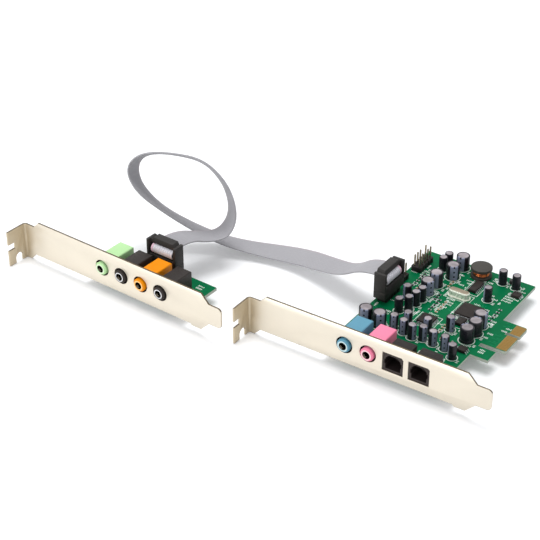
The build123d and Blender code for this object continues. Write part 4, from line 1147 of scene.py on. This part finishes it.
# %% Jacks and rings
JACK_SLOTS = {"line_input_jack": "jack_blue", "microphone_jack": "jack_pink",
              "front_speaker_jack": "jack_green", "rear_speaker_jack": "jack_black",
              "centre_speaker_jack": "jack_orange", "side_speaker_jack": "jack_black"}
MAIN_JACKS = ("line_input_jack", "microphone_jack")
MOULDED_EDGE = 0.1 * MM
MOUTH_DEPTH = 0.3 * MM
FACING = 0.9
# The paler tone of each coloured mouth: a painted highlight
MOUTH_HIGHLIGHTS = {"jack_blue": (196, 220, 222), "jack_pink": (250, 206, 213), "jack_green": (220, 241, 206),
          "jack_orange": (252, 200, 124)}


def jack(node, slot, front):
    """A jack whose coloured mouth takes a painted highlight, and whose other front faces take painted shade.
    """
    piece = rounded_copy(node, node + "_moulding", MOULDED_EDGE, slot)
    tone = slot
    if slot in MOUTH_HIGHLIGHTS:
        # The coloured mouth takes a paler copy of the jack's colour as a painted highlight
        tone = finish(slot + "_mouth", MOUTH_HIGHLIGHTS[slot], 0.3, 0.42, drift=0.1).name
    mouth = max(face.center.dot(front) for face in piece.data.polygons) - MOUTH_DEPTH
    # The mouth takes its tone, a painted highlight on coloured jacks; the other front faces take painted
    # shade
    for material, in_mouth in ((tone, True), ("painted_bore_shade", False)):
        repaint(piece, material, lambda face: face.normal.dot(front) > FACING
                and (face.center.dot(front) > mouth) == in_mouth)
    print(piece.name, len(piece.data.polygons), "faces")


for node, slot in JACK_SLOTS.items():
    jack(node, slot, Vector((0, -1, 0)) if node in MAIN_JACKS else card_direction(0, -1))
rounded_copy("black_jack_rims", "black_jack_rings", MOULDED_EDGE, "jack_ring")

# %% Springs, and linings of painted shade in the bores
SHADE_LINING_GAP = 0.01 * MM
SHADE_LINING_THICKNESS = 0.04 * MM
SHADE_LINING_FROM = 0.12 * MM
SHADE_LINING_TO = 13.0 * MM
SHADE_LINING_STEPS = 32
SPRING_THICKNESS = 0.14 * MM
SPRING_CLEARANCE = 0.07 * MM
SPRING_SPAN = math.radians(50)
SPRING_MIDDLE = math.radians(228)
SPRING_STEPS = 8
SPRING_FROM = 0.15 * MM
SPRING_TO = 1.3 * MM
bores = [mount for mount in frame["record"]["mounts"] if mount["kind"] == "bore"]
BORE_RADIUS = bores[0]["dims"]["r_mm"] * MM


def spring_mesh():
    """A curved leaf along Y that lines part of a bore."""
    section = washer(BORE_RADIUS - SPRING_CLEARANCE, BORE_RADIUS - SPRING_THICKNESS, SPRING_FROM, SPRING_TO)
    vertices = []
    for step in range(SPRING_STEPS + 1):
        angle = SPRING_MIDDLE + SPRING_SPAN * (step / SPRING_STEPS - 0.5)
        vertices += [(radius * math.cos(angle), y, radius * math.sin(angle)) for radius, y in section]
    return closed_mesh("bore_spring", vertices, capped_faces(SPRING_STEPS + 1, len(section)))


def shade_lining_mesh():
    """A thin tube along Y that lines a bore, to carry painted shade."""
    outside = BORE_RADIUS - SHADE_LINING_GAP
    section = washer(outside, outside - SHADE_LINING_THICKNESS, SHADE_LINING_FROM, SHADE_LINING_TO)
    vertices = [(x, y, z) for radius, y in section for x, z in circle(radius, SHADE_LINING_STEPS)]
    return closed_mesh("bore_shade_lining", vertices, wall_faces(len(section), SHADE_LINING_STEPS, True))


bore_places = [(Vector(mount["pos_m"]), math.atan2(mount["axis"][0], -mount["axis"][1]), UNIT)
               for mount in bores]
repeat("bore_springs", spring_mesh(), bore_places, "contact_metal")
# The linings carry painted shade inside the bores
repeat("bore_linings", shade_lining_mesh(), bore_places, "painted_bore_shade")

# %% [markdown]
# ## Optical ports
# Two square black housings look out of the bracket's windows, each with a keyed hole for a light-guide plug.
# Their shape is true in the frame, so their edges are only rounded as moulded edges are. The flat front
# takes a lighter grey, and a second material on its faces is enough for that.

# %% Optical ports
BEZEL_REACH = 0.3 * MM
for name in ("optical_output", "optical_input"):
    piece = rounded_copy(name + "_housing", name + "_shell", MOULDED_EDGE, "port_black")
    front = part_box(name + "_housing")[0].y + BEZEL_REACH
    repaint(piece, "port_bezel", lambda face: face.center.y < front)
    print(piece.name, len(piece.data.polygons), "faces")

# %% [markdown]
# ## Plugs and headers
# Each ribbon plug is three mouldings: a socket, a cover that bites through the cable, and a clip over both.
# The open header at the back has nine bare pins and a gap for its key. A pin could stay a plain bar, but a
# real one ends in a blunt point, so the pins are one pointed shape on the frame's places.

# %% Plugs, headers and pins
PLUG_EDGE = 0.2 * MM
HEADER_EDGE = 0.08 * MM
PIN_HALF = 0.5
PIN_TIP_HALF = 0.28
PIN_POINT = 0.07
for name in ("main", "jack_card"):
    for part in ("plug_socket", "plug_cover", "plug_strain_relief"):
        rounded_copy(f"{name}_{part}", f"{name}_{part}_moulding", PLUG_EDGE, "plug_black")
    rounded_copy(f"{name}_ribbon_header", f"{name}_ribbon_header_moulding", HEADER_EDGE, "header_black")
for node in ("front_audio_header", "jumper_header"):
    rounded_copy(node, node + "_moulding", HEADER_EDGE, "header_black")


def pin_mesh():
    """A square pin of unit size with a blunt point, standing on the origin."""
    levels = ((PIN_HALF, 0.0), (PIN_HALF, 1 - PIN_POINT), (PIN_TIP_HALF, 1.0))
    corners = ((-1, -1), (1, -1), (1, 1), (-1, 1))
    vertices = [(side * x, side * y, z) for side, z in levels for x, y in corners]
    return closed_mesh("pin", vertices, capped_faces(len(levels), len(corners)))


def standing(node):
    """A node's solids as places for a unit shape that stands on the origin."""
    return [(Vector((middle(box).x, middle(box).y, box[0].z)), 0.0, tuple(box[1] - box[0]))
            for box in islands(node)]


for node in ("front_audio_pins", "jumper_pins"):
    repeat(node + "_pointed", pin_mesh(), standing(node), "pin_brass", [node])

# %% [markdown]
# ## Electrolytic capacitors
# The small cans give the card its busy look. Each is an aluminium cup in a shrunk plastic sleeve: a groove
# near the foot, a top edge where the sleeve rolls in over the lid, and a bright lid scored with a cross where
# it may burst. A cylinder could stand in for it, but a lathe outline gives the groove and the rolled edge.
# The stripe's place is stored on the sleeve, so that each can may be turned.

# %% Capacitor shapes
CAN_STEPS = 36
# Sleeve outline as shares of radius and height, from the foot to the rolled edge
SLEEVE = [(0.86, 0.0), (0.96, 0.0), (0.99, 0.03), (0.99, 0.08), (0.94, 0.12), (0.94, 0.15), (0.99, 0.19),
          (1.0, 0.24), (1.0, 0.93), (0.985, 0.965), (0.95, 0.985), (0.88, 0.992), (0.8, 0.99), (0.76, 0.97)]
LID_RADIUS = 0.39
LID_HEIGHT = 0.975
LID_RELIEF = 0.008
LID_DEPTH = 0.03
LID_NARROWING = 0.98
LID_STEPS = 7
SCORE_HALF = 0.035
BUNG = [(0.43, 0.0), (0.43, 0.1)]


def sleeve_mesh():
    """The sleeve of a can of unit width and height, with how far round and how high each point lies."""
    mesh = lathe("sleeve", [(share / 2, z) for share, z in SLEEVE], CAN_STEPS, True, -math.pi / 2)
    carry(mesh, "away", [2 * min(i, CAN_STEPS - i) / CAN_STEPS for _ in SLEEVE for i in range(CAN_STEPS)])
    carry(mesh, "along", [z for _, z in SLEEVE for _ in range(CAN_STEPS)])
    return mesh


def lid_mesh():
    """A bright lid in four raised quarters with the score between them, over a plain disc."""
    rows = [(circle(LID_RADIUS, CAN_STEPS), LID_HEIGHT - LID_DEPTH, LID_HEIGHT, 1.0)]
    start = math.asin(SCORE_HALF / LID_RADIUS)
    outline = [Vector((SCORE_HALF, SCORE_HALF))]
    for step in range(LID_STEPS + 1):
        angle = start + (math.pi / 2 - 2 * start) * step / LID_STEPS
        outline.append(Vector((LID_RADIUS * math.cos(angle), LID_RADIUS * math.sin(angle))))
    for quarter in range(4):
        turn = Matrix.Rotation(quarter * math.pi / 2 + math.pi / 4, 2)
        rows.append(([turn @ point for point in outline], LID_HEIGHT - LID_RELIEF, LID_HEIGHT + LID_RELIEF,
                     LID_NARROWING))
    return plates("lid", rows)


print("sleeve outline of", len(SLEEVE), "rings")

# %% [markdown]
# Cans are soldered in whichever way their polarity asks for, so stripes point many ways. On this card the
# large cans and the small ones behind the jacks show their stripe to the viewer. The others, and all that
# stand near the card edge, show more of their dark side. Each turn could be listed, but a rule with a little
# wander is shorter.

# %% Capacitors on their places
STRIPE_WANDER = math.radians(38)
FRONT_ROWS_TO = 0.45
STRIPES_FROM = 0.3
STRIPES_TO = 0.86
AWAY_TURNS = (0.55 * math.pi, -0.55 * math.pi, math.pi)


def can_turn(place, large):
    """Which way a can's stripe faces: towards the viewer, or away from there."""
    across = (place.x - board_low.x) / MAIN_FIELD_WIDTH
    deep = (place.y - board_low.y) / (board_high.y - board_low.y)
    in_front = deep < FRONT_ROWS_TO and across > STRIPES_FROM
    turn = AZIMUTH + draw.uniform(-STRIPE_WANDER, STRIPE_WANDER)
    if across > STRIPES_TO or not (large or in_front):
        turn += draw.choice(AWAY_TURNS)
    return turn


for node in ("large_capacitors", "small_capacitors"):
    places = [(place, can_turn(place, node == "large_capacitors"), size) for place, _, size in standing(node)]
    repeat(node + "_sleeves", sleeve_mesh(), places, "can_sleeve", [node])
    repeat(node + "_lids", lid_mesh(), places, "can_top")
    repeat(node + "_feet", lathe("foot", BUNG, CAN_STEPS), places, "rubber")

# %% [markdown]
# ## Chips and their leads
# The chips are black moulded epoxy with a shallow dimple that marks the first lead. Each lead is a strip of
# tinned metal bent down and out. It could be swept along a curve, but one bent outline, pushed to a unit
# width, has fewer faces and stands on every place.

# %% Chips and leads
CHIP_EDGE = 0.1 * MM
DIMPLE_RADIUS = 0.5 * MM
DIMPLE_INSIDE = 0.35 * MM
DIMPLE_INSET = 1.3 * MM
DIMPLE_STEPS = 20
# Outline of a bent lead as shares of its reach and height
LEAD_OUTLINE = [(0, 1.0), (0.28, 1.0), (0.40, 0.9), (0.56, 0.26), (0.64, 0.19), (1, 0.19), (1, 0), (0.54, 0),
                (0.45, 0.08), (0.31, 0.72), (0.24, 0.81), (0, 0.81)]


def lead_mesh():
    """One bent lead of unit reach, width and height."""
    vertices = [(x, y, z) for y in (-0.5, 0.5) for x, z in LEAD_OUTLINE]
    return closed_mesh("lead", vertices, capped_faces(2, len(LEAD_OUTLINE)))


for name, leads in LEADS.items():
    places = [(start, math.atan2(direction.y, direction.x), (reach, width, height))
              for start, direction, reach, width, height in leads]
    repeat(name + "_bent_leads", lead_mesh(), places, "solder", [name + "_leads"])
for node in ("audio_controller_chip", "codec_chip", "small_chips"):
    rounded_copy(node, node + "_moulding", CHIP_EDGE, "chip_black")
dimple = lathe("dimple", washer(DIMPLE_RADIUS, DIMPLE_INSIDE, 0, LINE_THICKNESS), DIMPLE_STEPS, True)
dimples = [(Vector((low.x + DIMPLE_INSET, high.y - DIMPLE_INSET, high.z)), 0.0, UNIT) for low, high in chips]
repeat("chip_dimples", dimple, dimples, "resistor_black")

# %% [markdown]
# ## Chip resistors and capacitors
# The smallest parts are ceramic blocks with tinned ends, laid in rows. Each could be a rounded copy, but one
# block with bevelled edges, scaled to each frame solid, serves for bodies and ends alike.

# %% Chip parts
BLOCK_BEVEL = 0.09
CHIP_PARTS = {"chip_resistors": "resistor_black", "chip_capacitors": "ceramic_tan", "chip_end_caps": "solder"}


def block_mesh():
    """A unit block with bevelled edges, standing on the origin."""
    shape = bmesh.new()
    bmesh.ops.create_cube(shape, size=1.0)
    bmesh.ops.bevel(shape, geom=shape.edges, offset=BLOCK_BEVEL, segments=1, affect="EDGES")
    bmesh.ops.translate(shape, verts=shape.verts, vec=(0, 0, 0.5))
    return built("block", shape)


for node, slot in CHIP_PARTS.items():
    repeat(node + "_blocks", block_mesh(), standing(node), slot, [node])

# %% [markdown]
# ## Inductor, crystal and bead
# The round part is a ferrite drum with copper wire in its groove. A ribbed tube could pass for the wire, but
# it follows a rule, so a small tree makes it: a spiral with as many turns as fit, swept with a round section.
# The crystal beside it is a drawn can on a flange, its darker top a painted reflection and its bright flange
# a painted highlight, and the bead is a small drum.

# %% Inductor, crystal and bead
WIRE_DIAMETER = 0.5 * MM
WIRE_STEPS = 32
WIRE_SIDES = 8
FLANGE_HEIGHT = 0.7 * MM
DRAWN_EDGE = 0.3 * MM
DRAWN_SEGMENTS = 3


def winding_tree():
    tree, given, real = geometry_tree("copper_winding", {"Turns": "Float", "Radius": "Float",
                                                         "Height": "Float", "Wire": "Float"})
    spiral = add_node(tree, "GeometryNodeCurveSpiral", {"Resolution": WIRE_STEPS})
    section = add_node(tree, "GeometryNodeCurvePrimitiveCircle", {"Resolution": WIRE_SIDES})
    sweep = add_node(tree, "GeometryNodeCurveToMesh", {"Fill Caps": True})
    wire(tree, (given, "Turns", spiral, "Rotations"), (given, "Radius", spiral, "Start Radius"),
         (given, "Radius", spiral, "End Radius"), (given, "Height", spiral, "Height"),
         (given, "Wire", section, "Radius"), (spiral, "Curve", sweep, "Curve"),
         (section, "Curve", sweep, "Profile Curve"), (sweep, "Mesh", real, "Geometry"))
    return tree


def winding():
    """Copper turns in the drum's groove, as high and as wide as the frame's winding."""
    low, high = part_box("inductor_winding")
    height = high.z - low.z - WIRE_DIAMETER
    piece = new_object("copper_turns", bpy.data.meshes.new("copper_turns"))
    grown(piece, winding_tree(), "copper", Turns=height / WIRE_DIAMETER, Height=height,
          Wire=WIRE_DIAMETER / 2, Radius=(high.x - low.x - WIRE_DIAMETER) / 2)
    centre = middle((low, high))
    piece.data.transform(Matrix.Translation((centre.x, centre.y, low.z + WIRE_DIAMETER / 2)))
    shade(piece.data, SOFT_ANGLE)
    return enter(piece, ["inductor_winding"])


def crystal():
    """The crystal's can with plain sides, a darker top as a painted reflection and a bright flange as a
    painted highlight.
    """
    piece = rounded_copy("crystal", "crystal_shell", DRAWN_EDGE, "crystal_can", DRAWN_SEGMENTS)
    low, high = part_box("crystal")
    half_way = middle((low, high)).z
    # A darker top as a painted reflection, and a bright flange as a painted highlight
    repaint(piece, "crystal_top_reflection", lambda face: face.normal.z > FACING and face.center.z > half_way)
    repaint(piece, "crystal_flange_highlight", lambda face: face.center.z < low.z + FLANGE_HEIGHT)


print("winding of", len(winding().data.polygons), "faces")
rounded_copy("inductor_core", "ferrite_drum", DRAWN_EDGE, "ferrite", DRAWN_SEGMENTS)
crystal()
rounded_copy("bead", "bead_body", DRAWN_EDGE, "resistor_black", DRAWN_SEGMENTS)

# %% [markdown]
# ## Solder
# Below the boards every wire ends in a small cone of solder that hollows in towards the cut wire. A plain
# cone would look turned, so a lathe outline gives the hollow sides. The repeat tree puts it under each pin.

# %% Solder joints
SOLDER_OUTLINE = [(0.5, 1.0), (0.42, 0.88), (0.28, 0.6), (0.22, 0.3), (0.21, 0.08), (0.14, 0.0)]
SOLDER_STEPS = 12
for node in ("main_solder_joints", "jack_card_solder_joints"):
    cone = lathe("solder_cone", SOLDER_OUTLINE, SOLDER_STEPS)
    repeat(node + "_cones", cone, standing(node), "solder", [node], SOFT_ANGLE)

# %% [markdown]
# ## What stays as it is
# A few inner pieces keep the frame's own shape: contacts, hidden pins and the light modules. They only take
# their finishes, by the slot that the record names for each.

# %% Finishes of the frame's own pieces
for subpart in frame["record"]["subparts"]:
    own = frame["nodes"][subpart["node"]]
    if own.hide_render:
        continue
    own.data.materials.clear()
    own.data.materials.append(MATERIALS[subpart["material_slot"]])
    print("kept", own.name)
